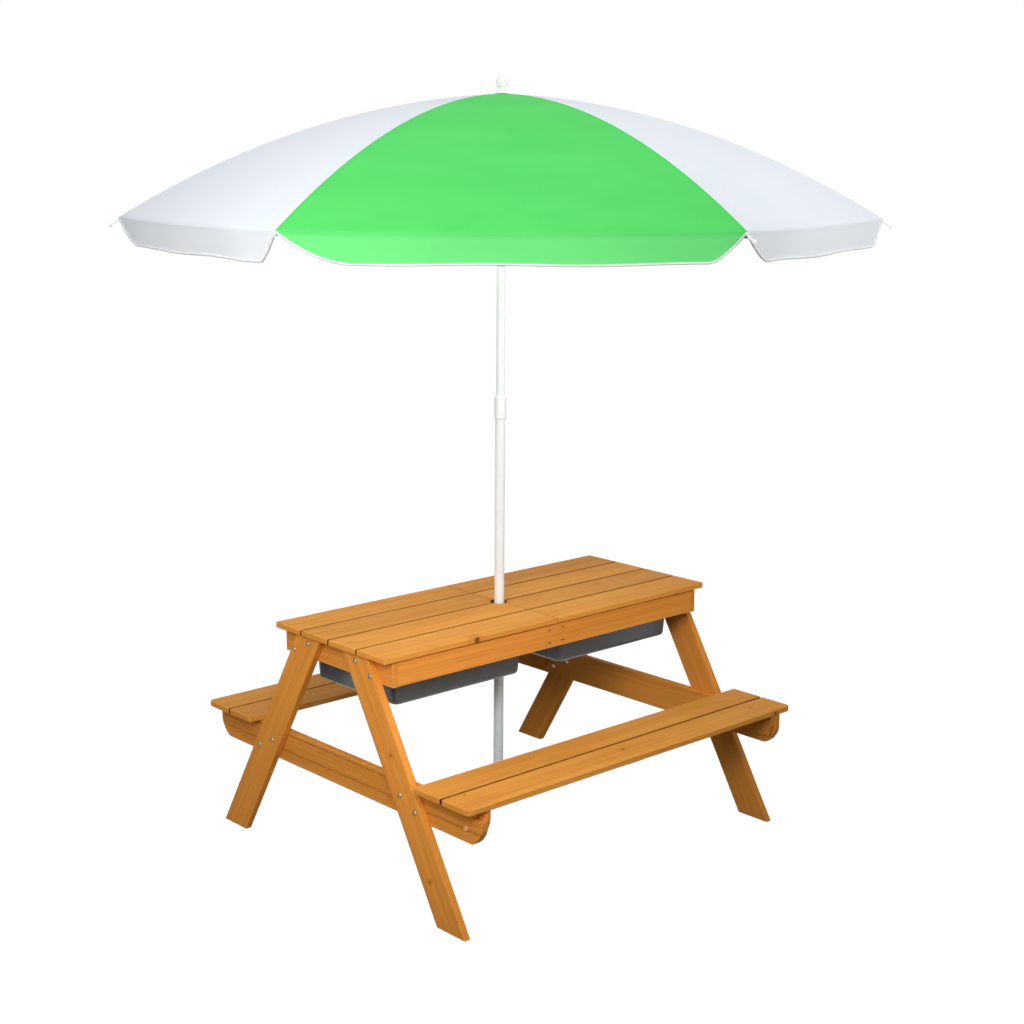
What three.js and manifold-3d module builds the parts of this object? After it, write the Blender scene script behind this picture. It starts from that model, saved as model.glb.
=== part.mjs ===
// A child's picnic table: two lift-off tops over two drop-in sand bins, a bench along each side,
// and a folding six-rib umbrella that stands through the middle of the table.
// Millimetres. The origin is on the floor below the pole, +X runs along the table and +Z is up.
import * as THREE from "three";
import { mergeVertices } from "three/addons/utils/BufferGeometryUtils.js";
import Module from "manifold-3d";

const wasm = await Module();
wasm.setup();

// Fits
const seatGap = 0.3; // between pieces that rest on or against each other
const pinGap = 0.4; // round a hinge pin, and beside what turns in a slot
const cutOverrun = 3; // how far a cutter reaches past what it cuts
const easedEdge = 1.2; // rounded-over arrises of every board

// Table top: two halves that meet over the middle, each of four slats on two battens
const tableHeight = 512;
const topLength = 940;
const topWidth = 368;
const topSlatCount = 4;
const slatThickness = 12;
const topSlatGap = 4;
const topSeam = 1;
const topCorner = 4;
const poleHoleRadius = 19.5;
const battenWidth = 50;
const battenThickness = 12;
const battenClearance = 12.5; // from a batten's ends to the walls of the bin that it lies in
const battenSpacing = 200; // between the two battens of one half

// Frame under the top
const boardThickness = 12;
const frameHeight = 50;
const endOverhang = 24; // of the top past the end boards
const sideOverhang = 4; // of the top past the aprons
const dividerSpacing = 39.2; // centre to centre, with the pole between

// Sand bins, which hang in the frame by a wide rim
const binDepth = 111;
const binWall = 2.5;
const binRimThickness = 2;
const binRimSeat = 6; // how far the rim lies on the boards
const binInsetEnd = 26; // from the end boards and dividers to the bin's wall at its mouth
const binInsetSide = 30; // from the aprons to the bin's wall at its mouth
const binDraft = 6; // how far each wall leans in from mouth to floor
const binCornerRadius = 16;
const binFloorRadius = 8;
const binRimCorner = 12;

// Legs
const legThickness = 16;
const legWidth = 70.5;
const legLean = THREE.MathUtils.degToRad(30.5);
const footReach = 412.5; // from the middle of the table to the outer edge of a foot

// Benches and the beams that carry them
const benchHeight = 277.5;
const benchOverhang = 8; // of the benches past each end of the top
const benchSlatWidth = 80;
const benchSlatGap = 4;
const benchInner = 278; // from the middle of the table to the near edge of a bench
const benchCorner = 12;
const beamThickness = 16;
const beamHeight = 71;
const beamPastBench = 2; // of the beam's stepped end past the bench's edge
const beamShort = 4; // from the bench's other edge to the beam's plain end
const beamCornerRun = 32;
const beamCornerRise = 36;
const beamStepLength = 28;
const beamStepDepth = 20;
const grooveHeights = [25, 61.8]; // from the beam's lower edge to the grooves along its face
const grooveWidth = 4;
const grooveDepth = 1.5;
const cleatThickness = 12;
const cleatHeight = 50;
const cleatInset = 4; // from the bench's edges to the cleat's ends
const cleatCornerRun = 10;
const cleatCornerRise = 28;
const centreCleatWidth = 45;
const centreCleatInset = 22; // from the bench's edges to the centre cleat's ends

// Umbrella pole, in two lengths that plug together in the collar
const poleRadius = 11;
const poleWall = 1.45;
const poleFoot = 45; // height of the pole's lower end
const polePlug = 6;
const upperPoleRadius = 9.25;
const upperPoleWall = 1.2;
const poleJoint = 952; // height of the lower pole's open end
const poleInsertion = 112;
const poleStopHeight = 8;
const poleStopRise = 1.2;
const crossPinRadius = 2.5;
const crossPinLength = 34;
const collarLength = 48.4;
const collarWall = 1.8;
const collarLip = 16; // of the collar above the lower pole's end
const collarEase = 1.5;

// Canopy: six gores over six curved ribs
const ribCount = 6;
const firstRibAngle = THREE.MathUtils.degToRad(19);
const apexHeight = 1599;
const canopyRadius = 803;
const canopyDrop = 253.3;
const apexSlopeShare = 0.0392;
const clothThickness = 1;
const seamGap = 0.2;
const apexHoleRadius = 8;
const valanceDepth = 54;
const valanceCornerRun = 80; // along the edge, from a rib's hem to the valance's full depth
const valanceCornerPower = 3; // how square the valance's corners are: 2 is an ellipse
const hemDepth = 1.5; // of the cloth's edge where a rib passes under it
const hemLength = 4; // along the edge to either side of a rib

// Ribs and stretchers
const ribRadius = 2.2;
const ribTipReach = 20;
const ribTipRadius = 4;
const ribDropFromCloth = 5.4; // from the cloth's top to a rib's middle line
const pivotReach = 275; // from the pole's axis to where a stretcher holds its rib
const pivotDrop = 6;
const lugRadius = 6.5;
const eyeRadius = 3;
const eyeWidth = 4;
const hingePinRadius = 1;
const ribHingeReach = 16;
const stretcherThickness = 2.5;
const stretcherHeight = 7;
const stretcherSideGap = 0.5;
const rivetRadius = 3;
const rivetHeight = 1.5;

// Crown and runner
const crownRadius = 22;
const crownHeight = 13;
const crownSkin = 2.2;
const hubWall = 2.4;
const finialStudRadius = 2.6;
const finialStudLength = 8;
const finialBaseRadius = 15;
const finialBaseHeight = 3.5;
const finialNeckRadius = 7;
const finialBallRadius = 13;
const finialHeight = 35; // above the cloth's apex
const runnerHingeDrop = 247; // from the cloth's apex to the runner's pins
const runnerHingeReach = 17;
const runnerRadius = 21.5;
const runnerHeadHeight = 13;
const runnerSleeveLength = 36;
const runnerSleeveWall = 3.2;
const runnerEase = 1.5;

// Heights and places that follow from the sizes above
const topUnderside = tableHeight - slatThickness;
const frameTop = topUnderside - binRimThickness - 2 * seatGap;
const frameBottom = frameTop - frameHeight;
const endBoardOuter = topLength / 2 - endOverhang;
const endBoardInner = endBoardOuter - boardThickness;
const apronOuter = topWidth / 2 - sideOverhang;
const apronInner = apronOuter - boardThickness;
const dividerOuter = dividerSpacing / 2 + boardThickness / 2;
const dividerInner = dividerSpacing / 2 - boardThickness / 2;
const binCentre = (dividerOuter + endBoardInner) / 2;
const binMouthWidth = apronInner - binInsetSide; // from the middle of the table to the bin's outer wall
const battenLength = 2 * (binMouthWidth - binWall - battenClearance);
const legInner = endBoardOuter + seatGap;
const beamOuter = legInner - seatGap;
const beamInner = beamOuter - beamThickness;
const benchUnderside = benchHeight - slatThickness;
const beamTop = benchUnderside - seatGap;
const beamBottom = beamTop - beamHeight;
const benchLength = topLength + 2 * benchOverhang;
const benchWidth = 2 * benchSlatWidth + benchSlatGap;
const benchCentre = benchInner + benchWidth / 2;
const beamSteppedEnd = benchInner + benchWidth + beamPastBench;
const beamPlainEnd = beamShort - benchInner - benchWidth;
const lowerBoreRadius = poleRadius - poleWall;
const upperPoleBottom = poleJoint - poleInsertion;
const halfGore = Math.PI / ribCount;
const goreWidth = 2 * canopyRadius * Math.sin(halfGore);
const crownCloth = crownRadius / Math.cos(halfGore); // along a rib to where the cloth leaves the crown
const crownTop = clothHeight(crownCloth) - clothThickness - 2 * seatGap;
const crownBoreTop = crownTop - crownSkin;
const upperPoleTop = crownBoreTop - seatGap;
const finialTop = apexHeight + finialHeight;
const runnerHingeHeight = apexHeight - runnerHingeDrop;
const stretcherSide = ribRadius + stretcherSideGap + stretcherThickness / 2; // beside its rib's plane

// The cut at a beam's lower corners, as shares of its run along the beam and of its rise.
const beamCornerShares = [
  [0, 1],
  [0.09, 0.72],
  [0.42, 0.3],
  [0.78, 0.05],
  [1, 0],
];

// Counts of facets
const roundSteps = 24;
const smallRoundSteps = 12;
const cornerSteps = 4;
const arcSegments = 2; // an arc in a board's outline has twice as many facets
const ribSteps = 10;
const tipSteps = 8;
const clothRows = 7;
const valanceRows = 2;
const middleColumns = 2;

// Finishes
const finishes = {
  wood: new THREE.MeshStandardMaterial({ color: 0xd08a3c, roughness: 0.55, metalness: 0 }),
  bin: new THREE.MeshStandardMaterial({ color: 0x4c5256, roughness: 0.45, metalness: 0 }),
  pole: new THREE.MeshStandardMaterial({ color: 0xf1f4f4, roughness: 0.3, metalness: 0.1 }),
  fitting: new THREE.MeshStandardMaterial({ color: 0xf5f7f7, roughness: 0.4, metalness: 0 }),
  rib: new THREE.MeshStandardMaterial({ color: 0xe6e8ea, roughness: 0.35, metalness: 0.6 }),
  green: new THREE.MeshStandardMaterial({ color: 0x5ce070, roughness: 0.8, metalness: 0 }),
  white: new THREE.MeshStandardMaterial({ color: 0xeaf0f8, roughness: 0.8, metalness: 0 }),
};

// Axis turns: an outline drawn in X and Y is stood up in the plane that a board lies in.
const inYZ = new THREE.Matrix4().makeBasis(
  new THREE.Vector3(0, 1, 0),
  new THREE.Vector3(0, 0, 1),
  new THREE.Vector3(1, 0, 0),
);
const inXZ = new THREE.Matrix4().makeBasis(
  new THREE.Vector3(1, 0, 0),
  new THREE.Vector3(0, 0, 1),
  new THREE.Vector3(0, -1, 0),
);

// Adds a named piece to a group.
function addPiece(group, name, geometry, finish) {
  const piece = new THREE.Mesh(geometry, finish);
  piece.name = name;
  group.add(piece);
  return piece;
}

// A closed geometry as a solid that can be joined and cut.
function toSolid(geometry) {
  const bare = new THREE.BufferGeometry();
  bare.setAttribute("position", geometry.getAttribute("position"));
  bare.setIndex(geometry.getIndex());
  const merged = mergeVertices(bare);
  const mesh = new wasm.Mesh({
    numProp: 3,
    vertProperties: merged.getAttribute("position").array,
    triVerts: new Uint32Array(merged.getIndex().array),
  });
  return new wasm.Manifold(mesh);
}

// A solid back as a geometry.
function toGeometry(solid) {
  const { numProp, vertProperties, triVerts } = solid.getMesh();
  const geometry = new THREE.BufferGeometry();
  geometry.setAttribute("position", new THREE.BufferAttribute(vertProperties, numProp));
  geometry.setIndex(new THREE.BufferAttribute(triVerts, 1));
  geometry.computeVertexNormals();
  return geometry;
}

// A slab of an outline from Z = 0 up, its arrises eased.
function easedSlab(outline, thickness) {
  const slab = new THREE.ExtrudeGeometry(outline, {
    depth: thickness - 2 * easedEdge,
    bevelEnabled: true,
    bevelThickness: easedEdge,
    bevelSize: easedEdge,
    bevelOffset: -easedEdge,
    bevelSegments: 1,
    curveSegments: arcSegments,
  });
  return slab.translate(0, 0, easedEdge);
}

// The outline of a rectangle between two corners.
function rectangle(left, low, right, high) {
  const outline = new THREE.Shape();
  outline.moveTo(left, low);
  outline.lineTo(right, low);
  outline.lineTo(right, high);
  outline.lineTo(left, high);
  outline.closePath();
  return outline;
}

// A board with its thickness along X, from the plane X = near outwards.
function boardAcrossX(outline, near, thickness) {
  return easedSlab(outline, thickness).applyMatrix4(inYZ).translate(near, 0, 0);
}

// A board with its thickness along Y, centred on Y = middle.
function boardAcrossY(outline, middle, thickness) {
  return easedSlab(outline, thickness).applyMatrix4(inXZ).translate(0, middle + thickness / 2, 0);
}

// A cylinder along the axis named, centred on a point.
function rod(axis, radius, length, centre, steps) {
  const geometry = new THREE.CylinderGeometry(radius, radius, length, steps);
  if (axis === "x") geometry.rotateZ(Math.PI / 2);
  if (axis === "z") geometry.rotateX(Math.PI / 2);
  return geometry.translate(centre.x, centre.y, centre.z);
}

// A turned piece about the Z axis from a closed list of [radius, height].
function turned(profile, steps = roundSteps) {
  const points = profile.map(([radius, height]) => new THREE.Vector2(radius, height));
  return new THREE.LatheGeometry(points, steps).rotateX(Math.PI / 2);
}

// One slat of the right-hand top, its inner end notched round the pole where it reaches it.
function topSlatOutline(low, high) {
  const inner = topSeam / 2;
  const outer = topLength / 2;
  const outline = new THREE.Shape();
  const lowIsEdge = Math.abs(low + topWidth / 2) < topSlatGap;
  const highIsEdge = Math.abs(high - topWidth / 2) < topSlatGap;
  const lowCorner = lowIsEdge ? topCorner : 0;
  const highCorner = highIsEdge ? topCorner : 0;
  const notchLow = Math.abs(low) < poleHoleRadius;
  const notchHigh = Math.abs(high) < poleHoleRadius;
  // The notch is the arc of the pole's hole between the slat's long edge and its inner end.
  const edge = notchLow ? low : high;
  const alongEdge = Math.sqrt(Math.max(0, poleHoleRadius ** 2 - edge ** 2));
  const alongEnd = Math.sqrt(poleHoleRadius ** 2 - inner ** 2);
  if (notchLow) {
    outline.moveTo(alongEdge, low);
  } else {
    outline.moveTo(inner, low);
  }
  outline.lineTo(outer - lowCorner, low);
  if (lowIsEdge) {
    outline.absarc(outer - lowCorner, low + lowCorner, lowCorner, -Math.PI / 2, 0, false);
  }
  outline.lineTo(outer, high - highCorner);
  if (highIsEdge) {
    outline.absarc(outer - highCorner, high - highCorner, highCorner, 0, Math.PI / 2, false);
  }
  if (notchHigh) {
    outline.lineTo(alongEdge, high);
    outline.absarc(0, 0, poleHoleRadius, Math.atan2(high, alongEdge), Math.atan2(-alongEnd, inner), true);
  } else {
    outline.lineTo(inner, high);
  }
  if (notchLow) {
    outline.lineTo(inner, alongEnd);
    outline.absarc(0, 0, poleHoleRadius, Math.atan2(alongEnd, inner), Math.atan2(low, alongEdge), true);
  } else {
    outline.lineTo(inner, low);
  }
  return outline;
}

// One half of the table top, built on the right; the left one is turned half a turn about Z.
function buildTop(side) {
  const top = new THREE.Group();
  const slatWidth = (topWidth - (topSlatCount - 1) * topSlatGap) / topSlatCount;
  for (let i = 0; i < topSlatCount; i += 1) {
    const low = -topWidth / 2 + i * (slatWidth + topSlatGap);
    const outline = topSlatOutline(low, low + slatWidth);
    const slat = easedSlab(outline, slatThickness).translate(0, 0, topUnderside);
    const number = side === "left" ? topSlatCount - i : i + 1;
    addPiece(top, `${side}_top_slat_${number}`, slat, finishes.wood);
  }
  const places = { inner: binCentre - battenSpacing / 2, outer: binCentre + battenSpacing / 2 };
  for (const [place, x] of Object.entries(places)) {
    const outline = rectangle(
      x - battenWidth / 2,
      -battenLength / 2,
      x + battenWidth / 2,
      battenLength / 2,
    );
    const height = topUnderside - seatGap - battenThickness;
    const batten = easedSlab(outline, battenThickness).translate(0, 0, height);
    addPiece(top, `${side}_top_${place}_batten`, batten, finishes.wood);
  }
  top.rotation.z = side === "left" ? Math.PI : 0;
  return top;
}

// The open frame: aprons between the end boards, and two dividers with the pole between them.
function buildFrame() {
  const frame = new THREE.Group();
  const apronReach = endBoardInner - seatGap;
  const apron = rectangle(-apronReach, frameBottom, apronReach, frameTop);
  const apronMiddle = (apronOuter + apronInner) / 2;
  const dividerReach = apronInner - seatGap;
  const divider = rectangle(-dividerReach, frameBottom, dividerReach, frameTop);
  const endBoard = rectangle(-apronOuter, frameBottom, apronOuter, frameTop);
  for (const [name, sign] of Object.entries({ front: -1, back: 1 })) {
    const geometry = boardAcrossY(apron, sign * apronMiddle, boardThickness);
    addPiece(frame, `${name}_apron`, geometry, finishes.wood);
  }
  for (const [name, sign] of Object.entries({ left: -1, right: 1 })) {
    const endNear = sign > 0 ? endBoardInner : -endBoardOuter;
    const dividerNear = sign > 0 ? dividerInner : -dividerOuter;
    addPiece(frame, `${name}_end_board`, boardAcrossX(endBoard, endNear, boardThickness), finishes.wood);
    addPiece(frame, `${name}_divider`, boardAcrossX(divider, dividerNear, boardThickness), finishes.wood);
  }
  return frame;
}

// The outline of one leg in Y and Z, leaning outwards to a level foot.
function legOutline(sign) {
  const footWidth = legWidth / Math.cos(legLean);
  const shift = frameTop * Math.tan(legLean);
  const outline = new THREE.Shape();
  const corners = [
    [footReach - footWidth, 0],
    [footReach, 0],
    [footReach - shift, frameTop],
    [footReach - footWidth - shift, frameTop],
  ];
  if (sign < 0) corners.reverse();
  corners.forEach(([reach, height], i) => {
    if (i === 0) outline.moveTo(sign * reach, height);
    else outline.lineTo(sign * reach, height);
  });
  outline.closePath();
  return outline;
}

// Four legs, one pair outside each end board.
function buildLegs() {
  const legs = new THREE.Group();
  for (const [across, signX] of Object.entries({ left: -1, right: 1 })) {
    for (const [along, signY] of Object.entries({ front: -1, back: 1 })) {
      const near = signX > 0 ? legInner : -legInner - legThickness;
      const leg = boardAcrossX(legOutline(signY), near, legThickness);
      addPiece(legs, `${along}_${across}_leg`, leg, finishes.wood);
    }
  }
  return legs;
}

// The outline of the right-hand seat beam in Y and Z: both lower corners are cut away, and the back end
// is stepped down below the bench.
function beamOutline() {
  const outline = new THREE.Shape();
  outline.moveTo(beamPlainEnd, beamTop);
  for (const [run, rise] of beamCornerShares) {
    outline.lineTo(beamPlainEnd + run * beamCornerRun, beamBottom + rise * beamCornerRise);
  }
  for (const [run, rise] of [...beamCornerShares].reverse()) {
    outline.lineTo(beamSteppedEnd - run * beamCornerRun, beamBottom + rise * beamCornerRise);
  }
  outline.lineTo(beamSteppedEnd, beamTop - beamStepDepth);
  outline.lineTo(beamSteppedEnd - beamStepLength, beamTop - beamStepDepth);
  outline.lineTo(beamSteppedEnd - beamStepLength, beamTop);
  outline.closePath();
  return outline;
}

// Two beams across the legs, each with two V grooves along its outer face. The left one is the right one
// turned half a turn about Z.
function buildBeams() {
  const beams = new THREE.Group();
  const groove = new THREE.Shape();
  groove.moveTo(-grooveDepth, 0);
  groove.lineTo(grooveDepth, -grooveWidth);
  groove.lineTo(grooveDepth, grooveWidth);
  groove.closePath();
  const grooveLength = 2 * (beamSteppedEnd + cutOverrun);
  let solid = toSolid(boardAcrossX(beamOutline(), beamInner, beamThickness));
  for (const height of grooveHeights) {
    const cutter = new THREE.ExtrudeGeometry(groove, { depth: grooveLength, bevelEnabled: false })
      .applyMatrix4(inXZ)
      .translate(beamOuter, beamSteppedEnd + cutOverrun, beamBottom + height);
    solid = solid.subtract(toSolid(cutter));
  }
  const right = toGeometry(solid);
  const left = right.clone().rotateZ(Math.PI);
  addPiece(beams, "right_seat_beam", right, finishes.wood);
  addPiece(beams, "left_seat_beam", left, finishes.wood);
  return beams;
}

// The outline of one bench slat; its outer corners are well rounded.
function benchSlatOutline(low, high, outerCorner) {
  const end = benchLength / 2;
  const outline = new THREE.Shape();
  outline.moveTo(-(end - outerCorner), low);
  outline.lineTo(end - outerCorner, low);
  outline.absarc(end - outerCorner, low + outerCorner, outerCorner, -Math.PI / 2, 0, false);
  outline.lineTo(end, high - topCorner);
  outline.absarc(end - topCorner, high - topCorner, topCorner, 0, Math.PI / 2, false);
  outline.lineTo(-(end - topCorner), high);
  outline.absarc(-(end - topCorner), high - topCorner, topCorner, Math.PI / 2, Math.PI, false);
  outline.lineTo(-end, low + outerCorner);
  outline.absarc(-(end - outerCorner), low + outerCorner, outerCorner, Math.PI, 1.5 * Math.PI, false);
  return outline;
}

// The outline of a cleat in Y and Z, its lower corners cut back.
function cleatOutline() {
  const reach = benchWidth / 2 - cleatInset;
  const top = benchUnderside - seatGap;
  const bottom = top - cleatHeight;
  const outline = new THREE.Shape();
  outline.moveTo(-(reach - cleatCornerRun), bottom);
  outline.lineTo(reach - cleatCornerRun, bottom);
  outline.lineTo(reach, bottom + cleatCornerRise);
  outline.lineTo(reach, top);
  outline.lineTo(-reach, top);
  outline.lineTo(-reach, bottom + cleatCornerRise);
  outline.closePath();
  return outline;
}

// One bench, built in front; the back one is turned half a turn about Z.
function buildBench(side) {
  const bench = new THREE.Group();
  const outerLow = -(benchInner + benchWidth);
  const slats = {
    outer: benchSlatOutline(outerLow, outerLow + benchSlatWidth, benchCorner),
    inner: benchSlatOutline(-benchInner - benchSlatWidth, -benchInner, topCorner),
  };
  for (const [place, outline] of Object.entries(slats)) {
    const slat = easedSlab(outline, slatThickness).translate(0, 0, benchUnderside);
    addPiece(bench, `${side}_bench_${place}_slat`, slat, finishes.wood);
  }
  const cleatNear = beamInner - seatGap - cleatThickness;
  const rightName = side === "front" ? "right" : "left";
  const leftName = side === "front" ? "left" : "right";
  const cleatPlaces = { [rightName]: cleatNear, [leftName]: -cleatNear - cleatThickness };
  for (const [name, near] of Object.entries(cleatPlaces)) {
    const cleat = boardAcrossX(cleatOutline(), near, cleatThickness).translate(0, -benchCentre, 0);
    addPiece(bench, `${side}_bench_${name}_cleat`, cleat, finishes.wood);
  }
  const reach = benchWidth / 2 - centreCleatInset;
  const centreOutline = rectangle(
    -centreCleatWidth / 2,
    -benchCentre - reach,
    centreCleatWidth / 2,
    -benchCentre + reach,
  );
  const centreHeight = benchUnderside - seatGap - cleatThickness;
  const centre = easedSlab(centreOutline, cleatThickness).translate(0, 0, centreHeight);
  addPiece(bench, `${side}_bench_centre_cleat`, centre, finishes.wood);
  bench.rotation.z = side === "back" ? Math.PI : 0;
  return bench;
}

// The points of a rounded rectangle, corner by corner, at one height.
function roundedRing(halfLength, halfWidth, radius, height) {
  const ring = [];
  const corners = [
    [1, 1],
    [-1, 1],
    [-1, -1],
    [1, -1],
  ];
  corners.forEach(([signX, signY], quarter) => {
    for (let i = 0; i <= cornerSteps; i += 1) {
      const angle = (quarter + i / cornerSteps) * (Math.PI / 2);
      const x = signX * (halfLength - radius) + radius * Math.cos(angle);
      const y = signY * (halfWidth - radius) + radius * Math.sin(angle);
      ring.push(new THREE.Vector3(x, y, height));
    }
  });
  return ring;
}

// A closed skin through rings of equal count, with the first and the last ring closed flat.
function loft(rings) {
  const positions = rings.flat().flatMap((point) => [point.x, point.y, point.z]);
  const count = rings[0].length;
  const faces = [];
  for (let j = 0; j < rings.length - 1; j += 1) {
    for (let i = 0; i < count; i += 1) {
      const a = j * count + i;
      const b = j * count + ((i + 1) % count);
      faces.push(a, a + count, b, b, a + count, b + count);
    }
  }
  const last = (rings.length - 1) * count;
  for (let i = 1; i < count - 1; i += 1) {
    faces.push(0, i, i + 1);
    faces.push(last, last + i + 1, last + i);
  }
  const geometry = new THREE.BufferGeometry();
  geometry.setAttribute("position", new THREE.Float32BufferAttribute(positions, 3));
  geometry.setIndex(faces);
  geometry.computeVertexNormals();
  return geometry;
}

// One sand bin: an open tub with drafted walls, a rounded floor edge and a wide flat rim.
function buildBin() {
  const mouthLength = (endBoardInner - dividerOuter) / 2 - binInsetEnd;
  const rimLength = (endBoardInner - dividerOuter) / 2 + binRimSeat;
  const rimWidth = apronInner + binRimSeat;
  const rimBottom = frameTop + seatGap;
  const rimTop = rimBottom + binRimThickness;
  const floor = rimTop - binDepth;
  const outerRise = rimBottom - floor;
  // A ring of the wall at a height, drawn in by an inset as well as by the draft.
  const wallRing = (height, inset) => {
    const lean = (binDraft * (rimBottom - height)) / outerRise;
    const shrink = lean + inset;
    const radius = Math.max(binCornerRadius - inset, binWall);
    return roundedRing(mouthLength - shrink, binMouthWidth - shrink, radius, height);
  };
  const outerFillet = [];
  const innerFillet = [];
  for (let i = 0; i <= cornerSteps; i += 1) {
    const angle = (i / cornerSteps) * (Math.PI / 2);
    const innerRadius = binFloorRadius - binWall;
    const run = 1 - Math.cos(angle);
    const rise = 1 - Math.sin(angle);
    outerFillet.push(wallRing(floor + binFloorRadius * rise, binFloorRadius * run));
    innerFillet.push(wallRing(floor + binWall + innerRadius * rise, binWall + innerRadius * run));
  }
  const rings = [
    ...outerFillet.reverse(),
    wallRing(rimBottom, 0),
    roundedRing(rimLength, rimWidth, binRimCorner, rimBottom),
    roundedRing(rimLength, rimWidth, binRimCorner, rimTop),
    wallRing(rimTop, binWall),
    ...innerFillet,
  ];
  return loft(rings.reverse());
}

// Height of the cloth above the floor along a rib, at a distance from the pole's axis.
function clothHeight(reach) {
  const share = reach / canopyRadius;
  const straight = apexSlopeShare * reach;
  const rest = canopyDrop - apexSlopeShare * canopyRadius;
  return apexHeight - straight - rest * share ** 2;
}

// Slope of a rib at a distance from the pole's axis, as fall over run.
function clothSlope(reach) {
  const rest = canopyDrop - apexSlopeShare * canopyRadius;
  return apexSlopeShare + (2 * rest * reach) / canopyRadius ** 2;
}

// Height of a rib's middle line.
function ribHeight(reach) {
  return clothHeight(reach) - ribDropFromCloth;
}

// The point where a stretcher holds its rib, in the rib's own plane.
function pivotPoint() {
  const lean = Math.atan(clothSlope(pivotReach));
  const x = pivotReach - pivotDrop * Math.sin(lean);
  const z = ribHeight(pivotReach) - pivotDrop * Math.cos(lean);
  return new THREE.Vector3(x, 0, z);
}

// One rib in its own plane: a bowed rod with an eye at the crown, a lug for the stretcher and a ball tip.
function buildRib() {
  const tipReach = canopyRadius + ribTipReach;
  const start = new THREE.Vector3(ribHingeReach, 0, ribHeight(ribHingeReach));
  const end = new THREE.Vector3(tipReach, 0, ribHeight(tipReach));
  const halfRun = (tipReach - ribHingeReach) / 2;
  const bend = new THREE.Vector3(
    ribHingeReach + halfRun,
    0,
    start.z - clothSlope(ribHingeReach) * halfRun,
  );
  const path = new THREE.QuadraticBezierCurve3(start, bend, end);
  const section = new THREE.Shape().absarc(0, 0, ribRadius, 0, 2 * Math.PI, false);
  const bow = new THREE.ExtrudeGeometry(section, {
    extrudePath: path,
    steps: ribSteps,
    curveSegments: smallRoundSteps / 4,
    bevelEnabled: false,
  });
  const eye = rod("y", eyeRadius, eyeWidth, start, smallRoundSteps);
  const lug = rod("y", lugRadius, 2 * ribRadius, pivotPoint(), smallRoundSteps);
  const tip = new THREE.SphereGeometry(ribTipRadius, tipSteps, tipSteps)
    .rotateX(Math.PI / 2)
    .translate(end.x, end.y, end.z);
  const hole = rod("y", hingePinRadius + pinGap, eyeWidth + cutOverrun, start, smallRoundSteps);
  const joined = toSolid(bow).add(toSolid(eye)).add(toSolid(lug)).add(toSolid(tip));
  return toGeometry(joined.subtract(toSolid(hole)));
}

// One stretcher: a flat bar beside the rib's plane, from the runner's pin to the rib's lug.
function buildStretcher() {
  const foot = new THREE.Vector3(runnerHingeReach, 0, runnerHingeHeight);
  const head = pivotPoint();
  const length = foot.distanceTo(head);
  const half = stretcherHeight / 2;
  const outline = new THREE.Shape();
  outline.moveTo(0, -half);
  outline.lineTo(length, -half);
  outline.absarc(length, 0, half, -Math.PI / 2, Math.PI / 2, false);
  outline.lineTo(0, half);
  outline.absarc(0, 0, half, Math.PI / 2, 1.5 * Math.PI, false);
  const hole = new THREE.Path().absarc(0, 0, hingePinRadius + pinGap, 0, 2 * Math.PI, true);
  outline.holes.push(hole);
  const bar = new THREE.ExtrudeGeometry(outline, {
    depth: stretcherThickness,
    bevelEnabled: false,
    curveSegments: cornerSteps,
  });
  const rivetCentre = new THREE.Vector3(length, 0, 0);
  const rivet = rod("z", rivetRadius, 2 * rivetHeight, rivetCentre, smallRoundSteps);
  const joined = toGeometry(toSolid(bar).add(toSolid(rivet)));
  joined.applyMatrix4(inXZ);
  joined.rotateY(-Math.atan2(head.z - foot.z, head.x - foot.x));
  return joined.translate(foot.x, stretcherSide + stretcherThickness / 2, foot.z);
}

// Slots and hinge pins spaced round a hub: each slot is cut, then its pin is set across it.
function slottedHub(hub, slot) {
  let solid = hub;
  for (let i = 0; i < ribCount; i += 1) {
    const angle = firstRibAngle + (i * 2 * Math.PI) / ribCount;
    const run = slot.outer - slot.inner + cutOverrun;
    const cutter = new THREE.BoxGeometry(run, slot.width, slot.high - slot.low + 2 * cutOverrun)
      .translate(slot.inner + run / 2, slot.side, (slot.low + slot.high) / 2)
      .rotateZ(angle);
    solid = solid.subtract(toSolid(cutter));
    const centre = new THREE.Vector3(slot.pinReach, slot.side, slot.pinHeight);
    const pin = rod("y", hingePinRadius, slot.width + 2 * hubWall, centre, smallRoundSteps).rotateZ(angle);
    solid = solid.add(toSolid(pin));
  }
  return toGeometry(solid);
}

// The crown: a slotted ring capped over the pole's end, with a hole for the finial's stud.
function buildCrown() {
  const bottom = crownTop - crownHeight;
  const boreRadius = upperPoleRadius + seatGap;
  const hub = toSolid(
    turned([
      [0, bottom],
      [crownRadius, bottom],
      [crownRadius, crownTop],
      [0, crownTop],
    ]),
  );
  const boreDepth = crownBoreTop - bottom + cutOverrun;
  const boreCentre = new THREE.Vector3(0, 0, crownBoreTop - boreDepth / 2);
  const bore = toSolid(rod("z", boreRadius, boreDepth, boreCentre, roundSteps));
  const studRadius = finialStudRadius + seatGap;
  const studCentre = new THREE.Vector3(0, 0, crownTop);
  const stud = toSolid(rod("z", studRadius, 2 * finialStudLength, studCentre, smallRoundSteps));
  return slottedHub(hub.subtract(bore).subtract(stud), {
    inner: boreRadius + hubWall,
    outer: crownRadius,
    low: bottom,
    high: crownTop,
    width: eyeWidth + 2 * pinGap,
    side: 0,
    pinReach: ribHingeReach,
    pinHeight: ribHeight(ribHingeReach),
  });
}

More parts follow.
